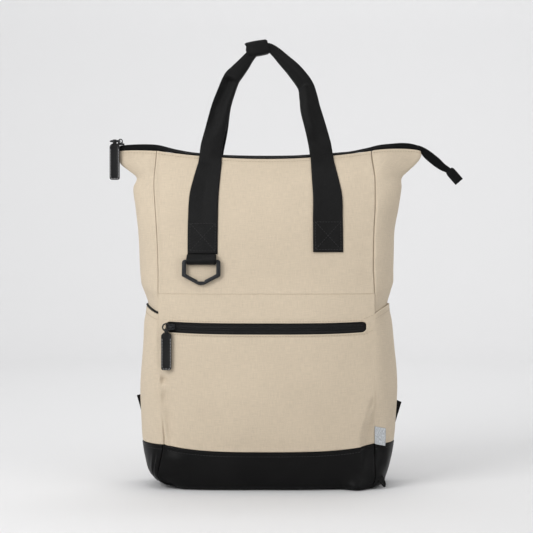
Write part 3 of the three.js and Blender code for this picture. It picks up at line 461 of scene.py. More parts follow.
def side_point(phi, z, hand):
    """Points of a side, phi from 0 at its front seam to pi at its back one."""
    cut = section(z)
    reach = cut["right"] if hand == RIGHT else cut["left"]
    seam = cut["seam_right"] if hand == RIGHT else cut["seam_left"]
    facing = np.cos(phi)
    flat = np.abs(facing) ** cut["pinch"]
    pinched = (cut["pinch"] - 1) / (FULL_PINCH - 1)
    fold = EAR_FOLD * pinched * (1 - flat) * np.minimum(1, np.abs(facing) / EAR_TURN)
    x = hand * (seam + (reach - seam) * np.abs(np.sin(phi)) ** SIDE_POWER)
    rise = EAR_RISE[hand] * np.abs(np.sin(2 * phi)) * smoothstep(z, EAR_RISE_FROM, MOUTH)
    y = -np.sign(facing) * (cut["depth"] * flat + fold) + ear_back(x, z)
    return np.stack([x, y, z + rise], axis=-1)


def skin(s, z):
    """The bag's outer surface. s runs once round it: front, right side, back and left side."""
    s, z = np.broadcast_arrays(np.mod(np.asarray(s, float), 4), np.asarray(z, float))
    face = np.minimum(np.floor(s).astype(int), 3)
    t = s - face
    faces = [
        face_point(2 * t - 1, z, FRONT),
        side_point(np.pi * t, z, RIGHT),
        face_point(1 - 2 * t, z, BACK),
        side_point(np.pi * (1 - t), z, LEFT),
    ]
    return np.choose(face[..., None], faces)


NORMAL_STEP = 0.004
SEAM_REACH = 0.01


def skin_normal(s, z):
    """The skin's outward direction, which both pieces share at their seam."""
    s = np.asarray(s, float)
    seam = np.round(s)
    at = np.where(np.abs(s - seam) < SEAM_REACH, seam, s)
    along = skin(at + NORMAL_STEP, z) - skin(at - NORMAL_STEP, z)
    up = skin(at, np.asarray(z) + 1) - skin(at, np.asarray(z) - 1)
    return unit(np.cross(along, up))


def behind_skin(s, z, depth):
    """Points at a depth behind the skin. The two layers of an ear stay on their own sides."""
    outer = skin(s, z)
    point = outer - skin_normal(s, z) * np.asarray(depth, float)[..., None]
    middle = ear_back(outer[..., 0], outer[..., 2])
    off = outer[..., 1] - middle
    kept = middle + np.sign(off) * np.maximum(np.sign(off) * (point[..., 1] - middle), EAR_CLEARANCE)
    inside = (np.abs(off) > EAR_CLEARANCE) & (np.asarray(depth) > 0)
    point[..., 1] = np.where(inside, kept, point[..., 1])
    return point


def along_front(x, z):
    """Place round the skin of a point on the front."""
    return (1 + x / seam_at(x, z)) / 2


def along_back(x, z):
    """Place round the skin of a point on the back."""
    return 2 + (1 - x / seam_at(x, z)) / 2


def on_front(x, z, lift):
    """Points that stand off the front by a lift."""
    return behind_skin(along_front(x, z), z, -np.asarray(lift, float))


def on_back(x, z, lift):
    """Points that stand off the back by a lift."""
    return behind_skin(along_back(x, z), z, -np.asarray(lift, float))


# Meshes

EDGE_STEPS = np.array([0, 0.25, 0.6, 1.1, 1.8, 2.8, 4.2])
CLOTH_STEP = 2.2


def divisions(length, step=CLOTH_STEP):
    """Shares of a length, close together at both ends."""
    end = EDGE_STEPS[-1]
    count = max(2, round((length - 2 * end) / step))
    middle = np.linspace(end, length - end, count + 1)
    return np.concatenate([EDGE_STEPS[:-1], middle, (length - EDGE_STEPS[:-1])[::-1]]) / length


class Patch:
    """A grid of points on the skin, with each point's distance to the grid's four edges."""

    def __init__(self, s, z, depth=0.0):
        self.s, self.z = np.broadcast_arrays(np.asarray(s, float), np.asarray(z, float))
        self.points = behind_skin(self.s, self.z, np.broadcast_to(depth, self.s.shape))
        self.normals = skin_normal(self.s, self.z)
        across, up = lengths(self.points, 1), lengths(self.points, 0)
        self.left, self.right = across, across[:, -1:] - across
        self.low, self.high = up, up[-1:] - up

    @property
    def cloth(self):
        """Each point's place on the flat cloth."""
        return np.stack([self.left - self.left[:, -1:] / 2, self.low], axis=-1)

    def shell(self, name, height, thickness, keep=None):
        """A shell whose outer face has a relief."""
        outer = self.points + self.normals * height[..., None]
        inner = self.points - self.normals * (thickness - np.minimum(height, 0))[..., None]
        return shell(name, outer, inner, self.cloth, keep)


def mesh_object(name, points, faces, cloth=None):
    """A smooth mesh object from points in millimetres, with cloth coordinates in metres."""
    mesh = bpy.data.meshes.new(name)
    mesh.from_pydata((np.asarray(points) * MM).tolist(), [], [list(map(int, face)) for face in faces])
    if cloth is not None:
        layer = mesh.uv_layers.new(name="weave")
        corners = np.empty(len(mesh.loops), int)
        mesh.loops.foreach_get("vertex_index", corners)
        layer.data.foreach_set("uv", (np.asarray(cloth) * MM)[corners].astype(np.float32).ravel())
    mesh.shade_smooth()
    piece = bpy.data.objects.new(name, mesh)
    bpy.context.scene.collection.objects.link(piece)
    return piece


def grid_cells(rows, columns, closed):
    """Corners of a grid's cells. A closed grid joins up."""
    index = np.arange(rows * columns).reshape(rows, columns)
    if closed:
        index = np.concatenate([index, index[:, :1]], axis=1)
    corners = (index[:-1, :-1], index[:-1, 1:], index[1:, 1:], index[1:, :-1])
    return np.stack(corners, axis=-1)


def shell_arrays(outer, inner, cloth, keep=None, closed=False):
    """Points, faces and cloth coordinates of a closed shell between two grids, with a rim."""
    rows, columns = outer.shape[:2]
    cells = grid_cells(rows, columns, closed)
    cells = cells[keep] if keep is not None else cells.reshape(-1, 4)
    count = rows * columns
    starts, ends = cells.ravel(), np.roll(cells, -1, axis=1).ravel()
    open_edge = ~np.isin(starts * count + ends, ends * count + starts)
    p, q = starts[open_edge], ends[open_edge]
    rim = np.stack([q, p, p + count, q + count], axis=1)
    faces = np.concatenate([cells, cells[:, ::-1] + count, rim])
    points = np.concatenate([outer.reshape(-1, 3), inner.reshape(-1, 3)])
    places = np.tile(cloth.reshape(-1, 2), (2, 1))
    used, faces = np.unique(faces, return_inverse=True)
    return points[used], faces.reshape(-1, 4), places[used]


def shell(name, outer, inner, cloth, keep=None, closed=False):
    return mesh_object(name, *shell_arrays(outer, inner, cloth, keep, closed))


def merged(parts):
    """Points and faces of several parts as one."""
    starts = np.cumsum([0] + [len(part[0]) for part in parts[:-1]])
    points = np.concatenate([part[0] for part in parts])
    return points, [face + start for part, start in zip(parts, starts) for face in part[1]]


def strip(name, rows, step):
    """A strip of webbing through key rows, each of columns x (outer, inner) x 3."""
    rows = np.asarray(rows, float)
    middle = rows.mean(axis=(1, 2))
    along = np.concatenate([[0], np.cumsum(np.linalg.norm(np.diff(middle, axis=0), axis=1))])
    curve = smooth_table(np.column_stack([along, rows.reshape(len(rows), -1)]))
    places = np.linspace(0, along[-1], max(2, round(along[-1] / step)) + 1)
    grid = curve(places).reshape(len(places), *rows.shape[1:])
    outer, inner = grid[:, :, 0], grid[:, :, 1]
    across = lengths((outer + inner) / 2, 1)
    cloth = np.stack([across - across[:, -1:] / 2, np.broadcast_to(places[:, None], across.shape)], axis=-1)
    return shell(name, outer, inner, cloth)


# A strip's cross section: places over its width and the share of its thickness there
STRIP_PLACES = np.array([-1, -0.97, -0.92, -0.84, -0.6, -0.3, 0, 0.3, 0.6, 0.84, 0.92, 0.97, 1]) / 2
STRIP_SHARES = np.array([0.35, 0.8, 1, 1.06, 0.97, 0.95, 0.95, 0.95, 0.97, 1.06, 1, 0.8, 0.35])

# Length of a strip's cells on small pieces, on the zip's free end, on the handles and on the straps
FINE_STEP = 0.8
TAIL_STEP = 1
WEB_STEP = 1.8
STRAP_STEP = 2
# How far ahead and behind a strip's direction is read, in rows of its table
TANGENT_STEP = 0.2


def free_row(centre, tangent, face, width, thick, bend=0.0, places=STRIP_PLACES, shares=STRIP_SHARES):
    """A strip's row in the air. bend moves its places out to the side that it faces."""
    across = unit(np.cross(tangent, face))
    out = unit(np.cross(across, tangent))
    middle = centre + across * (places * width)[:, None] + out * (bend + 0 * places)[:, None]
    half = out * (shares * thick / 2)[:, None]
    return np.stack([middle + half, middle - half], axis=1)


def sewn_row(place, x, z, width, thick, places=STRIP_PLACES, shares=STRIP_SHARES):
    """A strip's row on the cloth."""
    at = x + places * width
    level = np.full(at.shape, float(z))
    low = SEWN_LIFT + thick * (1 - shares) / 2
    return np.stack([place(at, level, low + thick * shares), place(at, level, low)], axis=1)


def free_rows(table, face, count, bend=None, **section_shape):
    """Rows of a strip through a table of x, y, z, width and thickness."""
    at = smooth_table([(step, *row) for step, row in enumerate(table)])
    last = len(table) - 1
    rows = []
    for step in np.linspace(0, last, last * count + 1):
        x, y, z, width, thick = at(step)
        tangent = unit(at(min(last, step + TANGENT_STEP))[:3] - at(max(0, step - TANGENT_STEP))[:3])
        moved = bend(step, width) if bend else 0.0
        rows.append(free_row(np.array([x, y, z]), tangent, face, width, thick, moved, **section_shape))
    return rows


# Solids' corners that count as one, and in degrees: faces that count as one flat, edges that are
# rounded, and edges that are shaded sharp
MERGE_GAP = 0.001
FLAT_ANGLE = 1
ROUNDED_ANGLE = 25
SHARP_ANGLE = 40
# Radius of the rounded edges of the hard pieces, and the steps round those of the ring
ROUNDING = {"floor": 0.4, "slider": 0.3, "ring": 0.7, "adjuster": 0.5}
RING_SEGMENTS = 4


def refined_copy(node, name, bevel, segments=3):
    """A copy of a hard solid with rounded edges."""
    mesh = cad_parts[node].data.copy()
    mesh.name = name
    mesh.materials.clear()
    work = bmesh.new()
    work.from_mesh(mesh)
    bmesh.ops.remove_doubles(work, verts=work.verts, dist=MERGE_GAP * MM)
    bmesh.ops.dissolve_limit(work, angle_limit=np.radians(FLAT_ANGLE), verts=work.verts, edges=work.edges)
    sharp = [edge for edge in work.edges if edge.calc_face_angle(0) > np.radians(ROUNDED_ANGLE)]
    bmesh.ops.bevel(work, geom=sharp, offset=bevel * MM, segments=segments, profile=0.5, affect="EDGES")
    work.to_mesh(mesh)
    work.free()
    mesh.shade_smooth()
    mesh.set_sharp_from_angle(angle=np.radians(SHARP_ANGLE))
    piece = bpy.data.objects.new(name, mesh)
    bpy.context.scene.collection.objects.link(piece)
    return piece


def dress(piece, finish_name, slot, *nodes, body="bag"):
    """Give a piece its finish and body; the slot is not used. It shows instead of the solid nodes that it
    names.
    """
    piece.data.materials.append(finish(finish_name))
    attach(piece, body)
    if nodes:
        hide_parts(*nodes)
    return piece


# Finishes

class Finish:
    """A node material with one principled shader."""

    def __init__(self, name, colour, roughness, **sockets):
        self.material = bpy.data.materials.new(name)
        self.material.use_nodes = True
        self.tree = self.material.node_tree
        self.shader = self.tree.nodes["Principled BSDF"]
        self.shader.inputs["Base Color"].default_value = (*colour, 1)
        self.shader.inputs["Roughness"].default_value = roughness
        for socket, value in sockets.items():
            self.shader.inputs[socket.replace("_", " ")].default_value = value

    def join(self, value, socket):
        """Link a socket to another one, or set it to a plain value."""
        if isinstance(value, bpy.types.NodeSocket):
            self.tree.links.new(value, socket)
        else:
            socket.default_value = value

    def node(self, kind, inputs, **settings):
        """A new shader node with its settings and inputs."""
        node = self.tree.nodes.new("ShaderNode" + kind)
        for key, value in settings.items():
            setattr(node, key, value)
        for key, value in inputs.items():
            self.join(value, node.inputs[key])
        return node

    def math(self, operation, *values):
        """The result of a sum on sockets or numbers."""
        return self.node("Math", dict(enumerate(values)), operation=operation).outputs[0]

    def plus(self, value, other, share):
        """A value and a share of another."""
        return self.math("ADD", value, self.math("MULTIPLY", other, share))

    def cloth_axes(self):
        """The cloth's own two directions, in metres."""
        place = self.node("UVMap", {}, uv_map="weave").outputs[0]
        axes = self.node("SeparateXYZ", {0: place})
        return place, axes.outputs[0], axes.outputs[1]

    def thread_wave(self, axis, pitch):
        """A wave between -1 and 1 with a crest for each thread."""
        return self.math("SINE", self.math("MULTIPLY", axis, 2 * np.pi / pitch))

    def noise(self, place, scale, detail=2.0, stretch=(1, 1, 1)):
        """Soft noise between 0 and 1."""
        mapped = self.node("Mapping", {"Vector": place, "Scale": stretch}).outputs[0]
        return self.node("TexNoise", {"Vector": mapped, "Scale": scale, "Detail": detail}).outputs["Fac"]

    def body_place(self):
        """The place on the piece, in metres."""
        return self.node("TexCoord", {}).outputs["Object"]

    def tint(self, factor, low, high):
        """Colour between two shades of the finish's own colour."""
        base = self.shader.inputs["Base Color"].default_value[:3]
        mix = self.node("Mix", {0: factor}, data_type="RGBA")
        mix.inputs[6].default_value = (*[c * low for c in base], 1)
        mix.inputs[7].default_value = (*[min(1, c * high) for c in base], 1)
        self.join(mix.outputs[2], self.shader.inputs["Base Color"])

    def roughen(self, factor, low, high):
        """Roughness between two values."""
        spread = self.node("MapRange", {"Value": factor, "To Min": low, "To Max": high})
        self.join(spread.outputs[0], self.shader.inputs["Roughness"])

    def bump(self, height, strength, distance):
        """Fine relief in the shading."""
        node = self.node("Bump", {"Height": height, "Strength": strength, "Distance": distance})
        self.join(node.outputs[0], self.shader.inputs["Normal"])


def canvas_finish(name, colour):
    pitch = bpy.context.scene.tote_sizes.weave
    cloth = Finish(name, colour, 0.92, Specular_IOR_Level=0.2, Sheen_Weight=0.06)
    place, across, up = cloth.cloth_axes()
    weave = cloth.math("MULTIPLY", cloth.thread_wave(across, pitch), cloth.thread_wave(up, pitch))
    warp = cloth.noise(place, 1 / pitch, 3, (1, 0.08, 1))
    weft = cloth.noise(place, 1 / pitch, 3, (0.08, 1, 1))
    slubs = cloth.math("MULTIPLY", cloth.math("ADD", warp, weft), 0.5)
    fleck = cloth.plus(slubs, weave, 0.08)
    cloud = cloth.noise(cloth.body_place(), 14, 3)
    cloth.tint(cloth.plus(cloth.math("MULTIPLY", fleck, 0.8), cloud, 0.2), 0.68, 1.32)
    cloth.roughen(slubs, 0.86, 0.98)
    cloth.bump(cloth.plus(weave, slubs, 2.0), 0.45, 0.00018)
    return cloth.material


def leather_finish(name, colour, roughness, grain, gloss):
    hide = Finish(name, colour, roughness, Specular_IOR_Level=gloss)
    place = hide.body_place()
    cells = hide.node("TexVoronoi", {"Vector": place, "Scale": 1 / grain}, feature="SMOOTH_F1").outputs[0]
    fine = hide.noise(place, 1.8 / grain, 4)
    broad = hide.noise(place, 25, 3)
    hide.tint(broad, 0.75, 1.3)
    patchy = hide.plus(hide.math("MULTIPLY", broad, 0.6), fine, 0.4)
    hide.roughen(patchy, roughness - 0.12, roughness + 0.14)
    hide.bump(hide.plus(cells, fine, 0.5), 0.35, 0.0001)
    return hide.material


def webbing_finish(name, colour, pitch, roughness, gloss):
    web = Finish(name, colour, roughness, Specular_IOR_Level=gloss, Sheen_Weight=0.02)
    place, across, up = web.cloth_axes()
    slant = web.math("ADD", up, web.math("ABSOLUTE", across))
    weave = web.math("MULTIPLY", web.thread_wave(slant, pitch), web.thread_wave(across, pitch * 0.8))
    fibre = web.noise(place, 1 / pitch, 3, (1, 0.25, 1))
    web.tint(web.plus(fibre, weave, 0.25), 0.2, 1.9)
    web.roughen(fibre, roughness - 0.12, roughness + 0.1)
    web.bump(web.math("ADD", weave, fibre), 0.5, 0.0002)
    return web.material


def metal_finish(name, colour):
    metal = Finish(name, colour, 0.36, Metallic=0.5, Specular_IOR_Level=0.3)
    place = metal.body_place()
    brushed = metal.noise(place, 900, 3)
    metal.tint(metal.noise(place, 60, 2), 0.8, 1.25)
    metal.roughen(brushed, 0.28, 0.46)
    metal.bump(brushed, 0.12, 0.00005)
    return metal.material


def plastic_finish(name, colour):
    plastic = Finish(name, colour, 0.42, Specular_IOR_Level=0.3)
    grain = plastic.noise(plastic.body_place(), 2200, 2)
    plastic.tint(plastic.noise(plastic.body_place(), 40, 2), 0.85, 1.2)
    plastic.roughen(grain, 0.36, 0.5)
    plastic.bump(grain, 0.2, 0.00005)
    return plastic.material


def thread_finish(name, colour):
    thread = Finish(name, colour, 0.7)
    twist = thread.noise(thread.body_place(), 1500, 2)
    thread.tint(twist, 0.75, 1.25)
    thread.roughen(twist, 0.6, 0.8)
    thread.bump(twist, 0.3, 0.0001)
    return thread.material


# Each finish: the function that makes it, its colour, and for leather its roughness, grain in metres and
# gloss, for webbing the distance between its threads in metres, its roughness and gloss
FINISHES = {
    "beige_canvas": (canvas_finish, "canvas"),
    "black_leather": (leather_finish, "leather", 0.4, 0.0011, 0.065),
    "smooth_leather": (leather_finish, "pull", 0.3, 0.0008, 0.22),
    "black_webbing": (webbing_finish, "webbing", 0.0019, 0.48, 0.13),
    "black_zip_tape": (webbing_finish, "tape", 0.0011, 0.36, 0.17),
    "matt_zip_tape": (webbing_finish, "tape", 0.0011, 0.75, 0.05),
    "grey_ribbon": (webbing_finish, "label", 0.0007, 0.55, 0.13),
    "pad_cover": (webbing_finish, "padding", 0.0014, 0.85, 0.13),
    "dark_satin_metal": (metal_finish, "metal"),
    "moulded_plastic": (plastic_finish, "plastic"),
    # The canvas thread's finish carries painted shade of the stitch holes in its darkened colour
    "canvas_thread": (thread_finish, "canvas_thread"),
    "dark_thread": (thread_finish, "dark_thread"),
    "pull_thread": (thread_finish, "pull_thread"),
    "base_thread": (thread_finish, "base_thread"),
}


def finish(name):
    """The finish of a name, made at its first use."""
    found = bpy.data.materials.get(name)
    if found:
        return found
    make, colour, *values = FINISHES[name]
    return make(name, getattr(bpy.context.scene.tote_colours, colour), *values)


# Details of the cloth

PUCKER_START = (0.5, 3)
# Broad unevenness: its size, the share of a finer one with its scale and shift both ways, and the
# distance from the edges over which both grow
UNEVEN_SIZE = 70.0
FINER_SHARE = 0.35
FINER_ACROSS = (2.7, 9)
FINER_UP = (2.3, 4)
UNEVEN_RISE = (2, 25)


def rolled(distance, radius):
    """Depth of a cloth edge that rolls under at a seam."""
    inside = np.clip(radius - distance, 0, radius)
    return np.sqrt(np.maximum(radius * radius - inside * inside, 0)) - radius


def ridge(distance, away, half, height):
    """A low ridge, or a groove, that runs at a distance from an edge."""
    return height * np.exp(-((distance - away) / half) ** 2)


def puckers(distance, along, height, seed, wavelength=9.0, reach=9.0):
    """Small gathers that die out away from a seam."""
    wave = soft_noise(along / wavelength, 0.5 + 0 * along, seed)
    return height * wave * np.exp(-distance / reach) * smoothstep(distance, *PUCKER_START)


def undulation(patch, height, seed):
    """Broad unevenness that leaves the edges where they are."""
    edge = np.minimum(np.minimum(patch.left, patch.right), np.minimum(patch.low, patch.high))
    across, deep = patch.points[..., 0] / UNEVEN_SIZE, patch.points[..., 1] / UNEVEN_SIZE
    up = patch.z / UNEVEN_SIZE
    field = soft_noise(across + deep, up, seed)
    finer = soft_noise(across * FINER_ACROSS[0] + FINER_ACROSS[1], up * FINER_UP[0] + FINER_UP[1], seed + 1)
    return height * (field + FINER_SHARE * finer) * smoothstep(edge, *UNEVEN_RISE)


# The left front seam is pressed flatter than the others
SEAM_ROLL = 2.0
FLAT_ROLL = 0.7
# Each canvas piece: how far its left, right, low and high edges roll under, the height of its broad
# unevenness, the share of the puckers' height along its side seams, and the seeds of both
CANVAS_PIECES = {
    "front": ((FLAT_ROLL, SEAM_ROLL, 1.0, 0.8), 1.1, 2, (3, 11)),
    "pocket": ((0, 0, 1.4, 0.8), 1.1, 1, (5, 21)),
    "back": ((SEAM_ROLL, SEAM_ROLL, 1.4, 0.8), 1.3, 1, (31, 33)),
    "side_right": ((SEAM_ROLL, SEAM_ROLL, 0.8, 0.8), 1.2, 1.3, (42, 44)),
    "side_left": ((SEAM_ROLL, FLAT_ROLL, 0.8, 0.8), 1.2, 1.3, (44, 46)),
    "slip_right": ((0, 0, 1.4, 0.6), 1.0, 1, (52, 54)),
    "slip_left": ((0, 0, 1.4, 0.6), 1.0, 1, (54, 56)),
}
# The seam allowance beside the left front seam and the lip of the pocket's slot: distance, half width,
# height
SEAM_RIDGE = (2.4, 1.6, 0.6)
SLOT_LIP = (0, 2.2, 0.6)
SLOT_ROLL = 0.6
# The swelling of the ears: distance from the seam, z, half width, half height, lean, height
EAR_SWELL = ((11, 411, 13, 13, 0, 1.5),)
EAR_SWELL_RISE = (0, 9)
# The front's lower edge lies over the pocket's upper one
FRONT_LAP = 0.5
LAP_RISE = 0.5
LAP_REACH = 5
# Hems: width, height, half width of the step where they end, and the stitches' distance from the edge
HEM = 6.0
HEM_HEIGHT = 0.45
HEM_STEP = 0.8
HEM_STITCH = 3.2
SLIP_HEM = (9, 0.4)
SLIP_STITCH = 7
SLOT_STITCH = 3.0
GROOVE_HALF = 0.9
# About how far the grids of the pieces run, for the number of their rows or columns
RUNS = {"front": 276, "back": 280, "side": 130, "slip": 165, "base": 265, "base_side": 125}
BACK_STEP = 3


def seam_rolls(patch, left, right, low, high):
    """Rolled edges on all four sides of a patch."""
    return (rolled(patch.left, left) + rolled(patch.right, right)
            + rolled(patch.low, low) + rolled(patch.high, high))


def hem_ridge(distance, width=HEM, height=HEM_HEIGHT):
    """The doubled cloth along a hem, which ends in a small step."""
    return height * (1 - smoothstep(distance, width - HEM_STEP, width + HEM_STEP))


def stitch_groove(distance, away, depth=0.4):
    """The shallow groove that a row of stitches pulls into the cloth."""
    return ridge(distance, away, GROOVE_HALF, -depth)


def side_seam_puckers(patch, height, seed):
    """Gathers along the left and right edges of a patch."""
    return (puckers(patch.left, patch.z, height, seed)
            + puckers(patch.right, patch.z, height, seed + 1))


def cloth_relief(patch, piece, pucker, room=1.0):
    """Rolled edges of a canvas piece, and its unevenness and puckers where it has room for them."""
    rolls, uneven, share, (uneven_seed, pucker_seed) = CANVAS_PIECES[piece]
    loose = undulation(patch, uneven, uneven_seed) + side_seam_puckers(patch, share * pucker, pucker_seed)
    return seam_rolls(patch, *rolls) + room * loose


def face_columns(face, width, step=CLOTH_STEP):
    """Columns of a front or back piece, as places round the skin."""
    inset = SEAM_GAP / 2 / width
    return face + inset + (1 - 2 * inset) * divisions(width, step)


def side_columns(face, width=RUNS["side"], inset=SIDE_SEAM_INSET):
    """Columns of a side piece, as places round the skin."""
    return face + inset + (1 - 2 * inset) * divisions(width)


def levels(low, high):
    """Heights of a piece's rows."""
    return low + (high - low) * divisions(high - low)


def slip_mouth(s):
    """Height of a slip pocket's mouth, which rises from the seams to the middle of its side."""
    arc = np.abs(np.sin(np.pi * s))
    rises = {hand: SLIP_RISE[hand] * arc ** SLIP_POWER[hand] for hand in (RIGHT, LEFT)}
    return SLIP_MOUTH + np.where(s < 2.5, rises[RIGHT], rises[LEFT])


# The crease that turns the pocket's lower right corner to the side: z, x of its edge
CORNER_CREASE = smooth_table(((0, 116), (50, 117), (76, 119), (93, 124), (128, 138)))
CORNER_CREASE_DEPTH = 10
CORNER_CREASE_WIDTH = 14
CORNER_CREASE_EDGE = 2.4
CORNER_CREASE_RISE = (14, 52)
CORNER_CREASE_FADE = (66, 134)
CORNER_CREASE_REACH = 18
# Small folds of the pocket's edges: x, z, half width, half height, lean in degrees, height
POCKET_FOLDS = (
    (-131, 139, 4.5, 5.5, 0, -4.2),
    (-129, 118, 4, 8, 0, -2.6),
    (-130.5, 68, 1.8, 17, 4, -3.0),
    (-126.5, 72, 2.4, 20, 6, 1.4),
    (-119, 66, 4, 16, 10, -0.9),
    (133, 110, 3, 15, -28, -1.6),
    (129, 93, 2.4, 16, -24, 0.9),
    (131, 84, 2.2, 18, -16, -1.3),
)
# Distance from the seams over which the small folds grow
POCKET_FOLD_RISE = (0, 2.5)


def corner_sink(z):
    """How far the cloth beyond the lower right crease lies back."""
    faded = 1 - smoothstep(z, *CORNER_CREASE_FADE)
    return CORNER_CREASE_DEPTH * smoothstep(z, *CORNER_CREASE_RISE) * faded


def lay_corner_back(patch):
    """Move a front piece's lower right corner back, beyond a crease."""
    x, z = patch.points[..., 0], patch.points[..., 2]
    turn = np.clip((x - CORNER_CREASE(z)[..., 0]) / CORNER_CREASE_WIDTH, 0, 1)
    patch.points[..., 1] += corner_sink(z) * (1 - (1 - turn) ** CORNER_CREASE_EDGE)


def side_laid_back(points, from_seam):
    """Points of the right side, which follow the turned corner near the front seam."""
    moved = points.copy()
    moved[..., 1] += corner_sink(points[..., 2]) * np.exp(-(from_seam / CORNER_CREASE_REACH) ** 2)
    return moved


def pocket_folds(patch):
    """Heights of the pocket's small folds, which leave its seams in place."""
    grown = smoothstep(np.minimum(patch.left, patch.right), *POCKET_FOLD_RISE)
    return fold_heights(POCKET_FOLDS, patch.points[..., 0], patch.points[..., 2]) * grown


# The grid round the pocket's slot: turns of its end columns in degrees, the step of the columns beside
# it, the rows in it, and how far its ends and its bent rows take to blend into the rest
SLOT_TURNS = (90, 72, 55, 40, 26)
SLOT_STEP = 1.5
SLOT_ROWS = 7
SLOT_END_BLEND = 12
SLOT_ROW_BLEND = 22


def slot_patch():
    """The pocket panel's grid, whose rows part round the slot, and the cells that it keeps."""
    middle = (ZIP_LEFT + ZIP_RIGHT) / 2
    straight = (ZIP_RIGHT - ZIP_LEFT) / 2 - SLOT_HALF
    turn = np.radians(SLOT_TURNS)
    end = straight + SLOT_HALF * np.cos(turn)
    run = np.linspace(-straight, straight, round(2 * straight / CLOTH_STEP) + 1)[1:-1]
    inside = np.concatenate([middle - end[::-1], middle + run, middle + end])
    seams = section(np.array(float(ZIP_Z)))
    left_edge, right_edge = -seams["seam_left"], seams["seam_right"]
    left_run, right_run = inside[0] - left_edge, right_edge - inside[-1]
    left = left_edge + left_run * divisions(left_run, SLOT_STEP)[:-1]
    right = inside[-1] + right_run * divisions(right_run, SLOT_STEP)[1:]
    x = np.concatenate([left, inside, right])
    in_slot = np.zeros(len(x), bool)
    in_slot[len(left):len(left) + len(inside)] = True
    past = np.clip(np.abs(x - middle) - straight, 0, None)
    end_half = SLOT_HALF * np.sin(turn[-1])
    half = np.where(
        in_slot,
        np.sqrt(np.maximum(SLOT_HALF ** 2 - past ** 2, 0)),
        end_half + (SLOT_HALF - end_half) * smoothstep(past - end[-1] + straight, 0, SLOT_END_BLEND))
    low_rows = levels(BASE_TOP + SEAM_GAP / 2, ZIP_Z - SLOT_HALF)
    high_rows = levels(ZIP_Z + SLOT_HALF, POCKET_TOP - SEAM_GAP / 2)
    between = np.linspace(-1, 1, SLOT_ROWS)[1:-1]
    spare = SLOT_HALF - half
    near_low = 1 - smoothstep(ZIP_Z - SLOT_HALF - low_rows, 0, SLOT_ROW_BLEND)
    near_high = 1 - smoothstep(high_rows - ZIP_Z - SLOT_HALF, 0, SLOT_ROW_BLEND)
    z = np.concatenate([
        low_rows[:, None] + near_low[:, None] * spare,
        ZIP_Z + between[:, None] * half,
        high_rows[:, None] - near_high[:, None] * spare,
    ])
    u = x / np.where(x < 0, seams["seam_left"], seams["seam_right"])
    patch = Patch(np.broadcast_to((1 + u) / 2, z.shape), z)
    keep = np.ones((z.shape[0] - 1, len(x) - 1), bool)
    gap_rows = slice(len(low_rows) - 1, len(low_rows) + len(between))
    keep[gap_rows, :] = ~(in_slot[:-1] & in_slot[1:])
    from_slot = np.hypot(np.maximum(np.abs(x - middle) - straight, 0), z - ZIP_Z) - SLOT_HALF
    return patch, keep, from_slot


class TOTE_OT_canvas_panels(Operator):
    """Make the front, pocket, back and side panels of canvas, with rolled seams and puckers"""

    bl_idname = "tote.canvas_panels"
    bl_label = "Canvas Panels"

    def execute(self, context):
        sizes = context.scene.tote_sizes
        thick, pucker = sizes.canvas / MM, sizes.pucker / MM

        front = Patch(face_columns(0, RUNS["front"]), levels(POCKET_TOP - FRONT_LAP, MOUTH)[:, None])
        x = front.points[..., 0]
        height = (cloth_relief(front, "front", pucker) + ridge(front.left, *SEAM_RIDGE)
                  + hem_ridge(front.high) + stitch_groove(front.high, HEM_STITCH)
                  + LAP_RISE * np.exp(-front.low / LAP_REACH)
                  + puckers(front.low, x, 0.8 * pucker, seed=15, wavelength=16, reach=12))
        dress(front.shell("front_cloth", height, thick), "beige_canvas", "canvas", "front_panel")

        pocket, keep, from_slot = slot_patch()
        lay_corner_back(pocket)
        lip = (ridge(from_slot, *SLOT_LIP) + rolled(np.maximum(from_slot, 0), SLOT_ROLL)
               + stitch_groove(from_slot, SLOT_STITCH))
        height = (cloth_relief(pocket, "pocket", pucker) + pocket_folds(pocket) + lip
                  + puckers(pocket.low, pocket.points[..., 0], pucker, seed=25, wavelength=12, reach=8))
        dress(pocket.shell("pocket_cloth", height, thick, keep), "beige_canvas", "canvas", "pocket_panel")

        z = levels(BASE_TOP + SEAM_GAP / 2, MOUTH)[:, None]
        back = Patch(face_columns(2, RUNS["back"], BACK_STEP), z)
        height = cloth_relief(back, "back", pucker) + hem_ridge(back.high)
        dress(back.shell("back_cloth", height, thick), "beige_canvas", "canvas", "back_panel")

        for side, face, hand in SIDES:
            s = side_columns(face)
            room = smoothstep(z - slip_mouth(s), *SLIP_BLEND)
            panel = Patch(s, z, SLIP_DEPTH * (1 - room))
            if hand == RIGHT:
                panel.points = side_laid_back(panel.points, panel.left)
            near = np.minimum(panel.left, panel.right)
            swell = fold_heights(EAR_SWELL, near, panel.z) * smoothstep(near, *EAR_SWELL_RISE)
            height = (cloth_relief(panel, f"side_{side}", pucker, room) + swell
                      + 0.5 * hem_ridge(panel.high))
            piece = panel.shell(f"side_cloth_{side}", height, thick)
            dress(piece, "beige_canvas", "canvas", f"side_{side}")
        return {"FINISHED"}


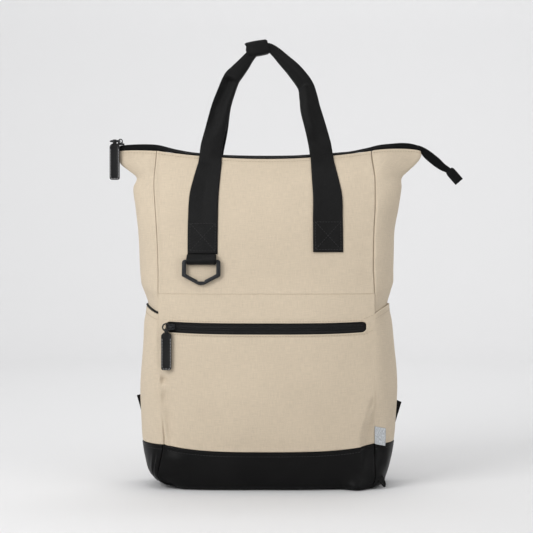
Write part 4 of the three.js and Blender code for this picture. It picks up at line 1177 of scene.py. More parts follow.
class TOTE_OT_slip_pockets(Operator):
    """Make the slip pockets on the sides, one with a black binding and one with a plain hem"""

    bl_idname = "tote.slip_pockets"
    bl_label = "Slip Pockets"

    def execute(self, context):
        sizes = context.scene.tote_sizes
        thick, pucker = sizes.canvas / MM, sizes.pucker / MM
        share = divisions(RUNS["slip"])[:, None]
        low = BASE_TOP + SEAM_GAP / 2
        for side, face, hand in SIDES:
            s = side_columns(face, inset=0)
            pocket = Patch(np.broadcast_to(s, (len(share), len(s))), low + (slip_mouth(s) - low) * share)
            height = (cloth_relief(pocket, f"slip_{side}", pucker) + hem_ridge(pocket.high, *SLIP_HEM)
                      + stitch_groove(pocket.high, SLIP_STITCH, depth=0.2))
            if hand == RIGHT:
                pocket.points = side_laid_back(pocket.points, pocket.left)
            piece = pocket.shell(f"slip_pocket_{side}", height, thick)
            dress(piece, "beige_canvas", "canvas", f"side_pocket_{side}")
        s = side_columns(3, inset=BINDING_INSET)
        rise = np.array(BINDING_RISES)[:, None]
        level = slip_mouth(s) + 2 * SEAM_GAP + rise
        s = np.broadcast_to(s, level.shape)
        swell = BINDING_SWELL * np.sin(np.pi * rise / BINDING_HEIGHT) - SEAM_GAP
        outer = behind_skin(s, level, -np.broadcast_to(SEAM_GAP + swell, s.shape))
        inner = behind_skin(s, level, np.broadcast_to(BINDING_THICK - SEAM_GAP, s.shape))
        cloth = np.stack([lengths(outer, 1), np.broadcast_to(rise, s.shape)], axis=-1)
        binding = shell("slip_binding", outer, inner, cloth)
        dress(binding, "black_webbing", "webbing", "pocket_binding_left")
        return {"FINISHED"}


# The base's walls: how far they stand proud, their lowest edge, how far their left, right, low and high
# edges roll under, and their first seed
BASE_PROUD = 0.6
BASE_LOW = 0.4
BASE_ROLLS = (1.8, 1.8, 1.2, 1.4)
BASE_SEED = 61
# A stitched channel below the base's upper edge: distance from the edge, half width and height
BASE_CHANNEL = (5.0, 1.1, -0.55)
# Wrinkles of the leather: height, length both ways, their share on the plain leather, and how far those
# at the corner seams reach
WRINKLE = {"height": 0.5, "across": 17, "up": 11, "plain": 0.25, "reach": 25}
# Where the leather of the front stands forward at the floor: x, z, half width, half height, lean, height
BASE_SWELL = (
    (113, 2, 12, 11, 0, 13),
    (-60, 3, 45, 9, 0, 3),
    (40, 3, 40, 9, 0, 2.5),
    (-127, 3, 14, 12, 0, -6),
    (-112, 41, 15, 9, 0, 2.5),
)
# Folds beside the left front corner seam: distance from it, z, half width, half height, lean, height
LEFT_BASE_FOLDS = (
    (5, 30, 2.2, 13, 0, 1.6),
    (9.5, 28, 2, 12, 0, -1.6),
    (14, 34, 3, 12, 0, 1.0),
)
# How far the lower end of the left front corner seam runs round to the side, as a share of that side
CORNER_SHIFT = 0.09
CORNER_SHIFT_FADE = (6, 50)
# How far the left end of the base draws in at the floor and how far its front corner lifts: the height
# where that ends, and the ranges to the left and to the front in which it grows
LEFT_TUCK = {"by": 4.5, "top": 27, "left": (85, 140)}
LEFT_LIFT = {"by": 5, "top": 20, "left": (104, 140), "front": (-10, 40)}
# The pinched leather at the right front corner: rows of x, y, z, width and thickness, and its facing
CORNER_FOLD = (
    (143, -46.5, 15, 9, 2),
    (146, -46, 10, 7.5, 2.2),
    (148.2, -45, 6, 5.5, 2.2),
    (149, -44.4, 2.6, 3, 1.6),
)
CORNER_FACE = np.array([0.45, -0.9, 0])


def tucked(points):
    """Points of the base with its left end drawn in and its left front corner lifted."""
    x, y, z = points[..., 0], points[..., 1], points[..., 2]
    tuck = (1 - smoothstep(z, 0, LEFT_TUCK["top"])) * smoothstep(-x, *LEFT_TUCK["left"])
    lift = (1 - smoothstep(z, 0, LEFT_LIFT["top"])) * smoothstep(-x, *LEFT_LIFT["left"])
    moved = points.copy()
    moved[..., 0] += LEFT_TUCK["by"] * tuck
    moved[..., 2] += LEFT_LIFT["by"] * lift * smoothstep(-y, *LEFT_LIFT["front"])
    return moved


def base_columns(face, z):
    """Columns of a base wall. The left front corner seam bends to the left towards the floor."""
    s = side_columns(face, RUNS["base_side"]) if face % 2 else face_columns(face, RUNS["base"])
    shift = CORNER_SHIFT * (1 - smoothstep(z, *CORNER_SHIFT_FADE))
    if face == 0:
        return s - shift * (1 - s)
    return s - shift * (s - face) if face == 3 else s


def base_relief(patch, pucker, seed):
    """Rolled edges, the stitched channel, wrinkles and puckers of a base wall."""
    x, y = patch.points[..., 0] / WRINKLE["across"], patch.points[..., 1] / WRINKLE["across"]
    wrinkles = WRINKLE["height"] * soft_noise(x + y, patch.z / WRINKLE["up"], seed)
    near = np.exp(-np.minimum(patch.left, patch.right) / WRINKLE["reach"])
    return (BASE_PROUD + seam_rolls(patch, *BASE_ROLLS) + ridge(patch.high, *BASE_CHANNEL)
            + wrinkles * (WRINKLE["plain"] + near)
            + side_seam_puckers(patch, 1.2 * pucker, seed + 1)
            + puckers(patch.high, patch.left, 0.8 * pucker, seed + 3, wavelength=14, reach=6))


class TOTE_OT_leather_base(Operator):
    """Make the leather base: four walls with corner seams, the floor and a folded corner"""

    bl_idname = "tote.leather_base"
    bl_label = "Leather Base"

    def execute(self, context):
        sizes = context.scene.tote_sizes
        thick, pucker = sizes.leather / MM, sizes.pucker / MM
        z = levels(BASE_LOW, BASE_TOP - SEAM_GAP / 2)[:, None]
        for side, face in WALLS:
            wall = Patch(base_columns(face, z), z)
            wall.points = tucked(wall.points)
            height = base_relief(wall, pucker, BASE_SEED + face)
            if side == "left":
                height = height + fold_heights(LEFT_BASE_FOLDS, wall.right, wall.z)
            if side == "right":
                wall.points = side_laid_back(wall.points, wall.left)
            if side == "front":
                lay_corner_back(wall)
                wall.points[..., 1] -= fold_heights(BASE_SWELL, wall.points[..., 0], wall.z)
            piece = wall.shell(f"leather_{side}", height, thick)
            for corner in piece.data.vertices:
                corner.co.z = max(corner.co.z, BASE_LOW / 2 * MM)
            dress(piece, "black_leather", "base_leather", f"base_{side}")
        floor = refined_copy("base_floor", "leather_floor", ROUNDING["floor"])
        for corner in floor.data.vertices:
            corner.co = Vector(tucked(np.array(corner.co) / MM) * MM)
        dress(floor, "black_leather", "base_leather", "base_floor")
        fold = strip("corner_fold", free_rows(CORNER_FOLD, CORNER_FACE, count=4), FINE_STEP)
        dress(fold, "black_leather", "base_leather")
        return {"FINISHED"}


def mouth_edge(x):
    """Half depth of the mouth, and the height of the cloth's edge at its front and back."""
    seam = seam_at(x, np.full(x.shape, float(MOUTH)))
    z = np.full(x.shape, float(MOUTH))
    u = np.clip(x / seam, -1, 1)
    front, back = face_point(u, z, FRONT), face_point(u, z, BACK)
    ends = section(z)
    reach = np.where(x < 0, ends["left"], ends["right"])
    share = np.clip((np.abs(x) - seam) / (reach - seam), 0, 1)
    phi = np.arcsin(share ** (1 / SIDE_POWER))
    ear = np.where((x < 0)[:, None], side_point(phi, z, LEFT), side_point(phi, z, RIGHT))
    on_ear = np.abs(x) > seam
    half = np.where(on_ear, np.abs(ear[:, 1] - ear_back(ear[:, 0], ear[:, 2])), back[:, 1])
    return half, np.where(on_ear, ear[:, 2], front[:, 2]), np.where(on_ear, ear[:, 2], back[:, 2])


# Lips of the closed zips: half width, then half width and height of the groove between them
TOP_ZIP_LIPS = (1.5, 0.35, -0.35)
POCKET_ZIP_LIPS = (2.2, 0.45, -0.9)
# The line along each flap of the pocket's zip: distance from the middle, half width, height
POCKET_ZIP_LINE = (4.4, 0.8, 0.6)
# The top zip's points along and across it, and the height, length and seed of its waves
TOP_ZIP_GRID = (201, 25)
TOP_ZIP_WAVE = {"height": 0.35, "length": 18, "seed": 71}
# The pocket's zip: depth behind the canvas, half width of its flaps and where they begin at its ends,
# points along it, and points across its edges and flaps
ZIP_BEHIND = 0.6
ZIP_FLAP_HALF = 6
ZIP_FLAP_RISE = (3, 6)
POCKET_ZIP_LONG = 120
POCKET_ZIP_WIDE = (5, 33)
# A leather tab's cross section, with a raised rim
TAB_PLACES = np.array([-1, -0.96, -0.88, -0.76, -0.66, -0.3, 0, 0.3, 0.66, 0.76, 0.88, 0.96, 1]) / 2
TAB_SHARES = np.array([0.3, 0.75, 1, 1, 0.8, 0.78, 0.78, 0.78, 0.8, 1, 1, 0.75, 0.3])


def zip_lips(off, half, groove_half, groove):
    """The two lips of a closed zip with the groove between them."""
    return ZIP_RIDGE * np.exp(-(off / half) ** 4) + ridge(off, 0, groove_half, groove)


class TOTE_OT_top_zip(Operator):
    """Make the zip over the mouth, its free end and the leather tab on it"""

    bl_idname = "tote.top_zip"
    bl_label = "Top Zip"

    def execute(self, context):
        thick = context.scene.tote_sizes.tape / MM
        count, wide = TOP_ZIP_GRID
        x = np.linspace(TOP_ZIP_LEFT, TOP_ZIP_RIGHT, count)
        across = np.sin(np.linspace(-np.pi / 2, np.pi / 2, wide))
        half, front, back = mouth_edge(x)
        half = np.maximum(half, TOP_ZIP_HALF)
        lean = (1 + across) / 2
        foot = front[:, None] * (1 - lean) + back[:, None] * lean + SEAM_GAP
        wave = TOP_ZIP_WAVE["height"] * soft_noise(x / TOP_ZIP_WAVE["length"], 0 * x, TOP_ZIP_WAVE["seed"])
        arch = (top_arch_table(x)[:, :1] + wave[:, None]) * (1 - across ** 2)
        off = across * half[:, None]
        middle = ear_back(x, np.full(x.shape, float(MOUTH)))[:, None]
        inner = np.stack(np.broadcast_arrays(x[:, None], off + middle, foot + arch), axis=-1)
        outer = inner + np.array([0, 0, 1.0]) * (thick + zip_lips(off, *TOP_ZIP_LIPS))[..., None]
        cloth = np.stack([off, np.broadcast_to(x[:, None], off.shape)], axis=-1)
        zip_tape = shell("mouth_zip", outer[:, ::-1], inner[:, ::-1], cloth[:, ::-1])
        dress(zip_tape, "matt_zip_tape", "zip_tape", "top_zip")

        face = np.array([0.0, FRONT, 0.0])
        tail = free_rows([(at, EAR_BACK, z, w, ZIP_TAIL_THICK) for at, z, w in ZIP_TAIL], face, count=6)
        dress(strip("zip_free_end", tail, TAIL_STEP), "matt_zip_tape", "zip_tape", "zip_tail")
        end = free_rows([(at, EAR_BACK, z, w, END_TAB_THICK) for at, z, w in END_TAB], face, count=8,
                        places=TAB_PLACES, shares=TAB_SHARES)
        dress(strip("zip_tab", end, FINE_STEP), "black_leather", "pull_leather", "zip_end_tab")
        return {"FINISHED"}


class TOTE_OT_pocket_zip(Operator):
    """Make the coated zip tape behind the pocket's slot"""

    bl_idname = "tote.pocket_zip"
    bl_label = "Pocket Zip"

    def execute(self, context):
        sizes = context.scene.tote_sizes
        seat = sizes.canvas / MM + ZIP_BEHIND
        x = np.linspace(ZIP_LEFT - ZIP_TAPE_MARGIN, ZIP_RIGHT + ZIP_TAPE_MARGIN, POCKET_ZIP_LONG)
        edge_count, flap_count = POCKET_ZIP_WIDE
        edge = np.linspace(ZIP_FLAP_HALF, ZIP_TAPE_HALF, edge_count)[1:]
        flaps = np.linspace(-ZIP_FLAP_HALF, ZIP_FLAP_HALF, flap_count)
        off = np.concatenate([-edge[::-1], flaps, edge])[:, None]
        shown = smoothstep(np.minimum(x - ZIP_LEFT, ZIP_RIGHT - x), *ZIP_FLAP_RISE)
        rise = (zip_lips(off, *POCKET_ZIP_LIPS) + ridge(np.abs(off), *POCKET_ZIP_LINE)) * shown
        places, level = np.broadcast_arrays(x[None, :], ZIP_Z + off)
        outer = on_front(places, level, rise - seat)
        inner = on_front(places, level, np.full(level.shape, -seat - sizes.tape / MM))
        cloth = np.stack([np.broadcast_to(off, level.shape), places], axis=-1)
        tape = shell("pocket_zip_tape", outer, inner, cloth)
        dress(tape, "black_zip_tape", "zip_tape", "pocket_zip")
        return {"FINISHED"}


def pull_half_width(z):
    """Half width of a pull at heights below its eye: shoulders, straight sides, round corners."""
    high, low = PULL_SHOULDER
    start, wide = PULL_NECK / 2, PULL_WIDTH / 2
    share = np.clip((-z - high) / (low - high), 0, 1)
    shoulder = start + (wide - start) * np.sin(share * np.pi / 2)
    from_end = np.clip(PULL_LENGTH + z, 0, PULL_CORNER)
    corner = PULL_CORNER - np.sqrt(np.maximum(PULL_CORNER ** 2 - (PULL_CORNER - from_end) ** 2, 0))
    return shoulder - corner


# A pull's rows: where they start above the eye's edge, and where its neck and its straight sides end
PULL_START = 1.2
PULL_NECK_END = 9
PULL_SIDES_END = 45
# Places over a pull's half width. From its edge inwards it is rounded, has a rim, and then a recess
PULL_PLACES = np.array([-1, -0.95, -0.86, -0.74, -0.64, -0.35, 0, 0.35, 0.64, 0.74, 0.86, 0.95, 1])
PULL_ROUND = (-0.6, 0.9)
PULL_EDGE_SHARE = 0.35
PULL_RIM = (1.5, 2.2)
PULL_RECESS = 0.3
# Places over the width of a pull's eye, and the share of its thickness there
EYE_PLACES = np.array([-1, -0.8, 0, 0.8, 1])[:, None]
EYE_SHARES = np.array([0.6, 1, 1.05, 1, 0.6])[:, None]


def pull_arrays():
    """A leather pull that hangs from its eye at the origin: a rimmed tab and a loop for the link."""
    z = -np.concatenate([np.linspace(PULL_EYE["outer"] - PULL_START, PULL_NECK_END, 12)[:-1],
                         np.linspace(PULL_NECK_END, PULL_SIDES_END, 25)[:-1],
                         PULL_LENGTH - PULL_CORNER * (1 - np.sin(np.linspace(0, np.pi / 2, 10)))])
    half = pull_half_width(z)[:, None]
    x = half * PULL_PLACES
    edge = np.minimum(np.maximum(half - np.abs(x), 0), (PULL_LENGTH + z)[:, None])
    rounded = PULL_EDGE_SHARE + (1 - PULL_EDGE_SHARE) * smoothstep(edge, *PULL_ROUND)
    thick = PULL_THICK / 2 * rounded * (1 - PULL_RECESS * smoothstep(edge, *PULL_RIM))
    level = np.broadcast_to(z[:, None], x.shape)
    outer, inner = (np.stack([x, y, level], axis=-1) for y in (-thick, thick))
    tab = shell_arrays(outer[::-1], inner[::-1], np.stack([x, level], axis=-1)[::-1])

    turn = np.linspace(0, 2 * np.pi, 29)[:-1]
    wide = PULL_EYE["wide"] / 2 * EYE_PLACES
    fat = EYE_SHARES * (PULL_EYE["outer"] - PULL_EYE["hole"]) / 2
    centre = (PULL_EYE["outer"] + PULL_EYE["hole"]) / 2

    def ring(radius):
        return np.stack(np.broadcast_arrays(wide, radius * np.cos(turn), radius * np.sin(turn)), axis=-1)

    cloth = np.stack(np.broadcast_arrays(wide, centre * turn), axis=-1)
    eye = shell_arrays(ring(centre - fat), ring(centre + fat), cloth, closed=True)
    return tab, eye


def link_arrays(zip_name):
    """A round wire link where the solid one is."""
    low, high = (np.array(corner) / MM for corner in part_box(f"{zip_name}_link"))
    lean = np.radians(LINKS[zip_name]["lean"])
    flat = np.array([0, np.cos(lean), np.sin(lean)])
    across = np.array([1, 0, 0])
    outer = np.linspace(0, 2 * np.pi, 41)[:-1][:, None]
    around = np.linspace(0, 2 * np.pi, 15)[:-1]
    reach = LINKS[zip_name]["radius"] + LINK_WIRE * np.cos(around)
    points = (reach * np.cos(outer))[..., None] * across + (reach * np.sin(outer))[..., None] * flat
    points = points + (LINK_WIRE * np.sin(around))[:, None] * np.cross(across, flat) + (low + high) / 2
    index = np.arange(points.shape[0] * points.shape[1]).reshape(points.shape[:2])
    ahead, beside = np.roll(index, -1, axis=0), np.roll(index, -1, axis=1)
    faces = np.stack([index, ahead, np.roll(ahead, -1, axis=1), beside], axis=-1).reshape(-1, 4)
    cloth = np.stack(np.broadcast_arrays(outer * reach, around * LINK_WIRE), axis=-1)
    return points.reshape(-1, 3), faces, cloth.reshape(-1, 2)


class TOTE_OT_zip_pulls(Operator):
    """Make both zips' sliders and links in metal and their rimmed leather pulls"""

    bl_idname = "tote.zip_pulls"
    bl_label = "Zip Pulls"

    def execute(self, context):
        for zip_name in ("top", "pocket"):
            slider = refined_copy(f"{zip_name}_slider", f"{zip_name}_zip_slider", ROUNDING["slider"])
            dress(slider, "dark_satin_metal", "dark_metal", f"{zip_name}_slider")
            link = mesh_object(f"{zip_name}_zip_link", *link_arrays(zip_name))
            dress(link, "dark_satin_metal", "dark_metal", f"{zip_name}_link")
            low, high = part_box(f"{zip_name}_pull")
            eye = np.array([low.x + high.x, low.y + high.y, 2 * high.z]) / 2 / MM
            eye[2] -= PULL_EYE["outer"]
            parts = pull_arrays()
            points, faces = merged(parts)
            cloth = np.concatenate([part[2] for part in parts])
            pull = mesh_object(f"{zip_name}_zip_pull", points + eye, faces, cloth)
            dress(pull, "smooth_leather", "pull_leather", f"{zip_name}_pull")
        return {"FINISHED"}


# Rows of the arch where the grip's fold begins and ends
FOLD_START = 4.0
FOLD_END = 14.0
FOLD_PROUD = 1.1
VALLEY_DEPTH = {LEFT: 8.5, RIGHT: -5}
# The curl of the webbing's edges: its depth and the share that the grip's fold takes back, each over a
# range of the width that is gathered
CURL = 2.2
CURL_GATHERED = (4, 14)
CURL_BACK = 0.6
CURL_BACK_GATHERED = (18, 27)
# The crease starts at the webbing's edge and moves in by two shares of its width on the way to the grip
CREASE_TURN = 0.3
CREASE_TURN_RUN = (0, 1.4)
CREASE_DRIFT = 0.14
CREASE_DRIFT_FROM = 1.5
VALLEY_HALF = 0.38
VALLEY_RUN = (0.2, 1.6)
VALLEY_END = (-0.15, 0.1)
GRIP_RUN = 0.15


def arch_bend(step, width):
    """Shape of the webbing's section on its way over the top.

    Its edges curl back where it is gathered. A crease runs from an edge to the middle, where the
    webbing is folded double for the grip.
    """
    gathered = WEBBING_WIDTH - width
    curl = CURL * smoothstep(gathered, *CURL_GATHERED)
    curl = curl * (1 - CURL_BACK * smoothstep(gathered, *CURL_BACK_GATHERED))
    left = step < (FOLD_START + FOLD_END) / 2
    run, end = (step, FOLD_START) if left else (len(ARCH) - 1 - step, len(ARCH) - 1 - FOLD_END)
    hand = LEFT if left else RIGHT
    moved = CREASE_TURN * smoothstep(run, *CREASE_TURN_RUN)
    crease = hand * (0.5 - moved - CREASE_DRIFT * smoothstep(run, CREASE_DRIFT_FROM, end))
    closing = smoothstep(run, end + VALLEY_END[0], end + VALLEY_END[1])
    depth = VALLEY_DEPTH[hand] * smoothstep(run, *VALLEY_RUN) * (1 - closing)
    valley = depth * np.maximum(0, 1 - np.abs(STRIP_PLACES - crease) / VALLEY_HALF)
    grip = FOLD_PROUD * smoothstep(run, end, end + GRIP_RUN)
    return grip - valley - curl * (2 * STRIP_PLACES) ** 2


LEG_STEP = 9


def handle_rows(place, toward, left_end, right_end, thick):
    """Rows of a handle: up its left leg, over the top and down its right leg."""
    flip = 1 if toward == FRONT else -1

    def leg_rows(end, column, hand):
        rows = []
        for z in np.linspace(end, LEG_TOP, round((LEG_TOP - end) / LEG_STEP) + 1):
            leg = leg_table(z)
            rows.append(sewn_row(place, leg[column], z, hand * flip * leg[2], thick))
        return rows

    route = []
    for x, y, z, width, deep in ARCH:
        if toward == BACK and x < 0:
            height = min(1, (z - ARCH_LOW) / (BACK_LEAN_TOP - ARCH_LOW))
            x *= 1 - BACK_LEAN * np.sin(np.pi * height)
        route.append((x, -toward * y, z, width, deep))
    arch = free_rows(route, np.array([0.0, toward, 0.0]), count=8, bend=arch_bend)
    return leg_rows(left_end, 0, 1) + arch + leg_rows(right_end, 1, -1)[::-1]


# The sleeve's points round it and step along it, its swelling and offset, share and radius of its rolled
# ends, and the waves and shifts of its uneven ends
SLEEVE_ROUND = 64
SLEEVE_STEP = 1.4
SLEEVE_SWELL = (0.5, -0.25)
SLEEVE_ROLL = (0.3, 0.8)
SLEEVE_ENDS = ((3, 1), (2, 0.5))


def grip_sleeve():
    """The sleeve round both grips, with its lower left end cut on a slant."""
    tilt, slope = np.radians(WRAP["tilt"]), np.radians(WRAP_CUT["slope"])
    along = np.array([np.cos(tilt), 0, np.sin(tilt)])
    up = np.array([-np.sin(tilt), 0, np.cos(tilt)])
    centre = np.array([WRAP["x"], 0, WRAP["z"]])
    cut_at = np.array([WRAP_CUT["x"], 0, WRAP_CUT["z"]])
    cut_face = np.array([np.cos(slope), 0, np.sin(slope)])
    turn = np.linspace(0, 2 * np.pi, SLEEVE_ROUND + 1)[:-1]
    square = np.abs(np.cos(turn)) ** WRAP_SQUARE + np.abs(np.sin(turn)) ** WRAP_SQUARE
    square = square ** (-1 / WRAP_SQUARE)
    left, right = (WRAP_UNEVEN * np.sin(waves * turn + shift) for waves, shift in SLEEVE_ENDS)
    reach = WRAP["length"] / 2

    def loop(inset):
        deep, tall = WRAP["deep"] / 2 - inset, WRAP["tall"] / 2 - inset
        y, z = deep * square * np.cos(turn), tall * square * np.sin(turn)
        return y[:, None] * np.array([0, 1, 0]) + z[:, None] * up

    share = divisions(WRAP["length"], SLEEVE_STEP)[:, None, None]

    def sheet(inset):
        round_points = centre + loop(inset)
        first = -((round_points - cut_at) @ cut_face) / (along @ cut_face)
        start = np.maximum(left - reach, first)[None, :, None]
        end = (right + reach)[None, :, None]
        return round_points + along * (start + (end - start) * share)

    rise, drop = SLEEVE_SWELL
    roll, radius = SLEEVE_ROLL
    from_end = WRAP["length"] * np.minimum(share, 1 - share)
    swell = rise * np.sin(np.pi * share) + drop + roll * rolled(from_end, radius)
    outer, inner = sheet(0.0), sheet(WRAP["wall"])
    outer = outer + unit(outer - inner) * swell
    cloth = np.stack([lengths(outer, 1), lengths(outer, 0)], axis=-1)
    return shell("grip_sleeve", outer, inner, cloth, closed=True)


class TOTE_OT_handles(Operator):
    """Make both webbing handles, with curled edges, and the sleeve round their grips"""

    bl_idname = "tote.handles"
    bl_label = "Handles"

    def execute(self, context):
        thick = context.scene.tote_sizes.webbing / MM
        front = handle_rows(on_front, FRONT, LEG_END_LEFT, LEG_END_RIGHT, thick)
        dress(strip("front_handle", front, WEB_STEP), "black_webbing", "webbing", "handle_front")
        back = handle_rows(on_back, BACK, BACK_LEG_END, BACK_LEG_END, thick)
        dress(strip("back_handle", back, WEB_STEP), "black_webbing", "webbing", "handle_back")
        dress(grip_sleeve(), "black_webbing", "webbing", "handle_wrap")
        return {"FINISHED"}


def ring_seat():
    """The middle of the ring's bar, and the direction out of the bag there."""
    x, z = np.array(float(RING_X)), np.array(float(RING_Z))
    out = unit(skin_normal(along_front(x, z), z) * np.array([1, 1, 0]))
    return on_front(x, z, np.array(RING_LIFT)), out


class TOTE_OT_hanging_ring(Operator):
    """Make the metal ring and the webbing loop that it hangs in"""

    bl_idname = "tote.hanging_ring"
    bl_label = "Hanging Ring"

    def execute(self, context):
        thick = context.scene.tote_sizes.webbing / MM
        seat, out = ring_seat()
        up = np.array([0, 0, 1])
        middle = LOOP["hole"] + thick / 2
        turn = np.linspace(0, -np.pi, 25)
        path = np.concatenate([
            [[LOOP["top_back"] - thick / 2, z] for z in (LOOP["top"], *LOOP_BACK)],
            np.column_stack([middle * np.cos(turn), middle * np.sin(turn)]),
            [*LOOP_FRONT, (LOOP["top_front"] + thick / 2 - LOOP_FORWARD, LOOP["top"])],
        ])
        rows = []
        for i, (back, z) in enumerate(path):
            ahead = path[min(i + 1, len(path) - 1)] - path[max(i - 1, 0)]
            tangent = up * ahead[1] - out * ahead[0]
            face = unit(out * ahead[1] + up * ahead[0])
            rows.append(free_row(seat - out * back + up * z, tangent, face, LOOP["width"], thick))
        dress(strip("ring_webbing", rows, FINE_STEP), "black_webbing", "webbing", "ring_loop")
        ring = refined_copy("hex_ring", "satin_ring", ROUNDING["ring"], RING_SEGMENTS)
        dress(ring, "dark_satin_metal", "dark_metal", "hex_ring", body="ring")
        return {"FINISHED"}


class TOTE_OT_label(Operator):
    """Make the bare grey ribbon in the right front seam"""

    bl_idname = "tote.label"
    bl_label = "Ribbon Label"

    def execute(self, context):
        across, up = np.linspace(0, 1, 15)[None, :], np.linspace(0, 1, 25)[:, None]
        level = LABEL["low"] + (LABEL["high"] - LABEL["low"]) * up - LABEL["lean"] * across
        s = np.broadcast_to(1 + LABEL["from"] + (LABEL["to"] - LABEL["from"]) * across, level.shape)
        curl = LABEL["curl"] * across ** 2 + LABEL["wave"] * np.sin(LABEL["waves"] * up)
        from_seam = lengths(skin(s, level), 1)
        outer = side_laid_back(behind_skin(s, level, -(LABEL["lift"] + LABEL["thick"] + curl)), from_seam)
        inner = side_laid_back(behind_skin(s, level, -(LABEL["lift"] + curl * LABEL["inner"])), from_seam)
        cloth = np.stack([lengths(outer, 1), lengths(outer, 0)], axis=-1)
        dress(shell("ribbon_label", outer, inner, cloth), "grey_ribbon", "label", "label_tab")
        return {"FINISHED"}


# A shoulder pad's cross section: flat bound edges and a crowned middle with two sewn channels
PAD_PLACES = np.array([-1, -0.98, -0.93, -0.86, -0.82, -0.74, -0.6, -0.45, -0.3, -0.15, 0,
                       0.15, 0.3, 0.45, 0.6, 0.74, 0.82, 0.86, 0.93, 0.98, 1]) / 2
PAD_SHARES = np.array([0.2, 0.34, 0.4, 0.36, 0.26, 0.62, 0.9, 0.98, 1.0, 1.02, 1.02,
                       1.02, 1.0, 0.98, 0.9, 0.62, 0.26, 0.36, 0.4, 0.34, 0.2])


# An anchor tab: about its width and height and the step of its grid, half its solid's thickness, and
# how far and how much its edges thin out
ANCHOR_SIZE = (48, 45)
ANCHOR_STEP = 2
ANCHOR_HALF = 0.9
ANCHOR_EDGE = 1.2
ANCHOR_EDGE_SHARE = 0.5


def anchor_y(hand, x, z):
    """Middle of an anchor tab: on the back panel as far as its seam, then straight on."""
    lift = SEWN_LIFT + ANCHOR_HALF
    seam = seam_at(np.full(z.shape, float(hand)), z)
    on_cloth = on_back(hand * np.minimum(x, seam), z, np.full(z.shape, lift))[..., 1]
    share = np.maximum(x - seam, 0) / (ANCHOR_TIP[hand]["outer"] - seam)
    return on_cloth + (ANCHOR["outer_y"] - on_cloth) * share


def anchor_tab(side, hand, thick):
    """The tab of webbing that holds a strap at the side seam."""
    wide, tall = ANCHOR_SIZE
    across, up = divisions(wide, ANCHOR_STEP)[None, :], divisions(tall, ANCHOR_STEP)[:, None]
    tip = ANCHOR_TIP[hand]
    outer_x = tip["foot"] + (tip["outer"] - tip["foot"]) * up
    x = ANCHOR["inner"] + (outer_x - ANCHOR["inner"]) * across
    inner_z = ANCHOR["inner_low"] + (ANCHOR["inner_high"] - ANCHOR["inner_low"]) * up
    outer_z = tip["low"] + (tip["high"] - tip["low"]) * up
    z = inner_z + (outer_z - inner_z) * across
    y = anchor_y(hand, x, z)
    edge = np.minimum(np.minimum(across, 1 - across) * wide, np.minimum(up, 1 - up) * tall)
    share = ANCHOR_EDGE_SHARE + (1 - ANCHOR_EDGE_SHARE) * smoothstep(edge, 0, ANCHOR_EDGE)
    half = thick / 2 * share
    outer = np.stack([hand * x, y + half, z], axis=-1)
    inner = np.stack([hand * x, y - half, z], axis=-1)
    cloth = np.stack([x, z], axis=-1)
    if hand == RIGHT:
        outer, inner, cloth = outer[:, ::-1], inner[:, ::-1], cloth[:, ::-1]
    return shell(f"strap_tab_{side}", outer, inner, cloth)


class TOTE_OT_shoulder_straps(Operator):
    """Make both shoulder straps: padded straps, adjusters, webbing and anchor tabs"""

    bl_idname = "tote.shoulder_straps"
    bl_label = "Shoulder Straps"

    def execute(self, context):
        thick = context.scene.tote_sizes.webbing / MM
        face = np.array([0.0, BACK, 0.0])
        shape = {"places": PAD_PLACES, "shares": PAD_SHARES}
        for side, _, hand in SIDES:
            rows = [sewn_row(on_back, hand * x, z, w, t, **shape) for z, x, w, t in PAD_TOP]
            rows += free_rows([(hand * x, y, z, w, t) for x, y, z, w, t in PAD], face, count=2, **shape)
            pad = strip(f"shoulder_pad_{side}", rows, STRAP_STEP)
            dress(pad, "pad_cover", "strap_pad", f"strap_pad_{side}")
            lock = refined_copy(f"ladder_lock_{side}", f"adjuster_{side}", ROUNDING["adjuster"])
            dress(lock, "moulded_plastic", "buckle", f"ladder_lock_{side}")

            above, end = (np.array([hand * row[0], row[1], row[2]]) for row in PAD[-2:])
            down = unit(end - above)
            top = end + down * (SEAM_GAP + ADJUSTER_TALL + PAD_END_ROOM + STRAP_WEB_ROOM)
            bend = top + down * STRAP_WEB_STRAIGHT
            tip_x, tip_z = STRAP_WEB_END
            tip_y = float(anchor_y(hand, np.array(float(tip_x)), np.array(float(tip_z))))
            route = [tuple(top), tuple(bend), *[(hand * x, y, z) for x, y, z in STRAP_WEB],
                     (hand * tip_x, tip_y + thick + 3 * SEWN_LIFT, tip_z)]
            web = free_rows([(*point, STRAP_WIDTH, thick) for point in route], face, count=4)
            web = strip(f"strap_webbing_{side}", web, STRAP_STEP)
            dress(web, "black_webbing", "webbing", f"strap_web_{side}")
            tab = anchor_tab(side, hand, thick)
            dress(tab, "black_webbing", "webbing", f"strap_anchor_{side}")
        return {"FINISHED"}


# Stitching

STITCH_STATIONS = np.array([-0.5, -0.38, 0, 0.38, 0.5])
STITCH_GIRTH = np.array([0.25, 0.85, 1, 0.85, 0.25])
STITCH_SIDES = 6
STITCH_AIM = 0.4


def stitch_template():
    """One stitch along its own length: places along it, across it and out of it, and its faces."""
    turn = np.linspace(0, 2 * np.pi, STITCH_SIDES + 1)[:-1]
    along = np.repeat(STITCH_STATIONS, STITCH_SIDES)
    girth = np.repeat(STITCH_GIRTH, STITCH_SIDES)
    around = np.tile(turn, len(STITCH_STATIONS))
    cells = grid_cells(len(STITCH_STATIONS), STITCH_SIDES, True).reshape(-1, 4)
    cap = np.arange(STITCH_SIDES)
    caps = [cap[::-1], cap + STITCH_SIDES * (len(STITCH_STATIONS) - 1)]
    return along, girth * np.cos(around), girth * np.sin(around), [*cells, *caps]


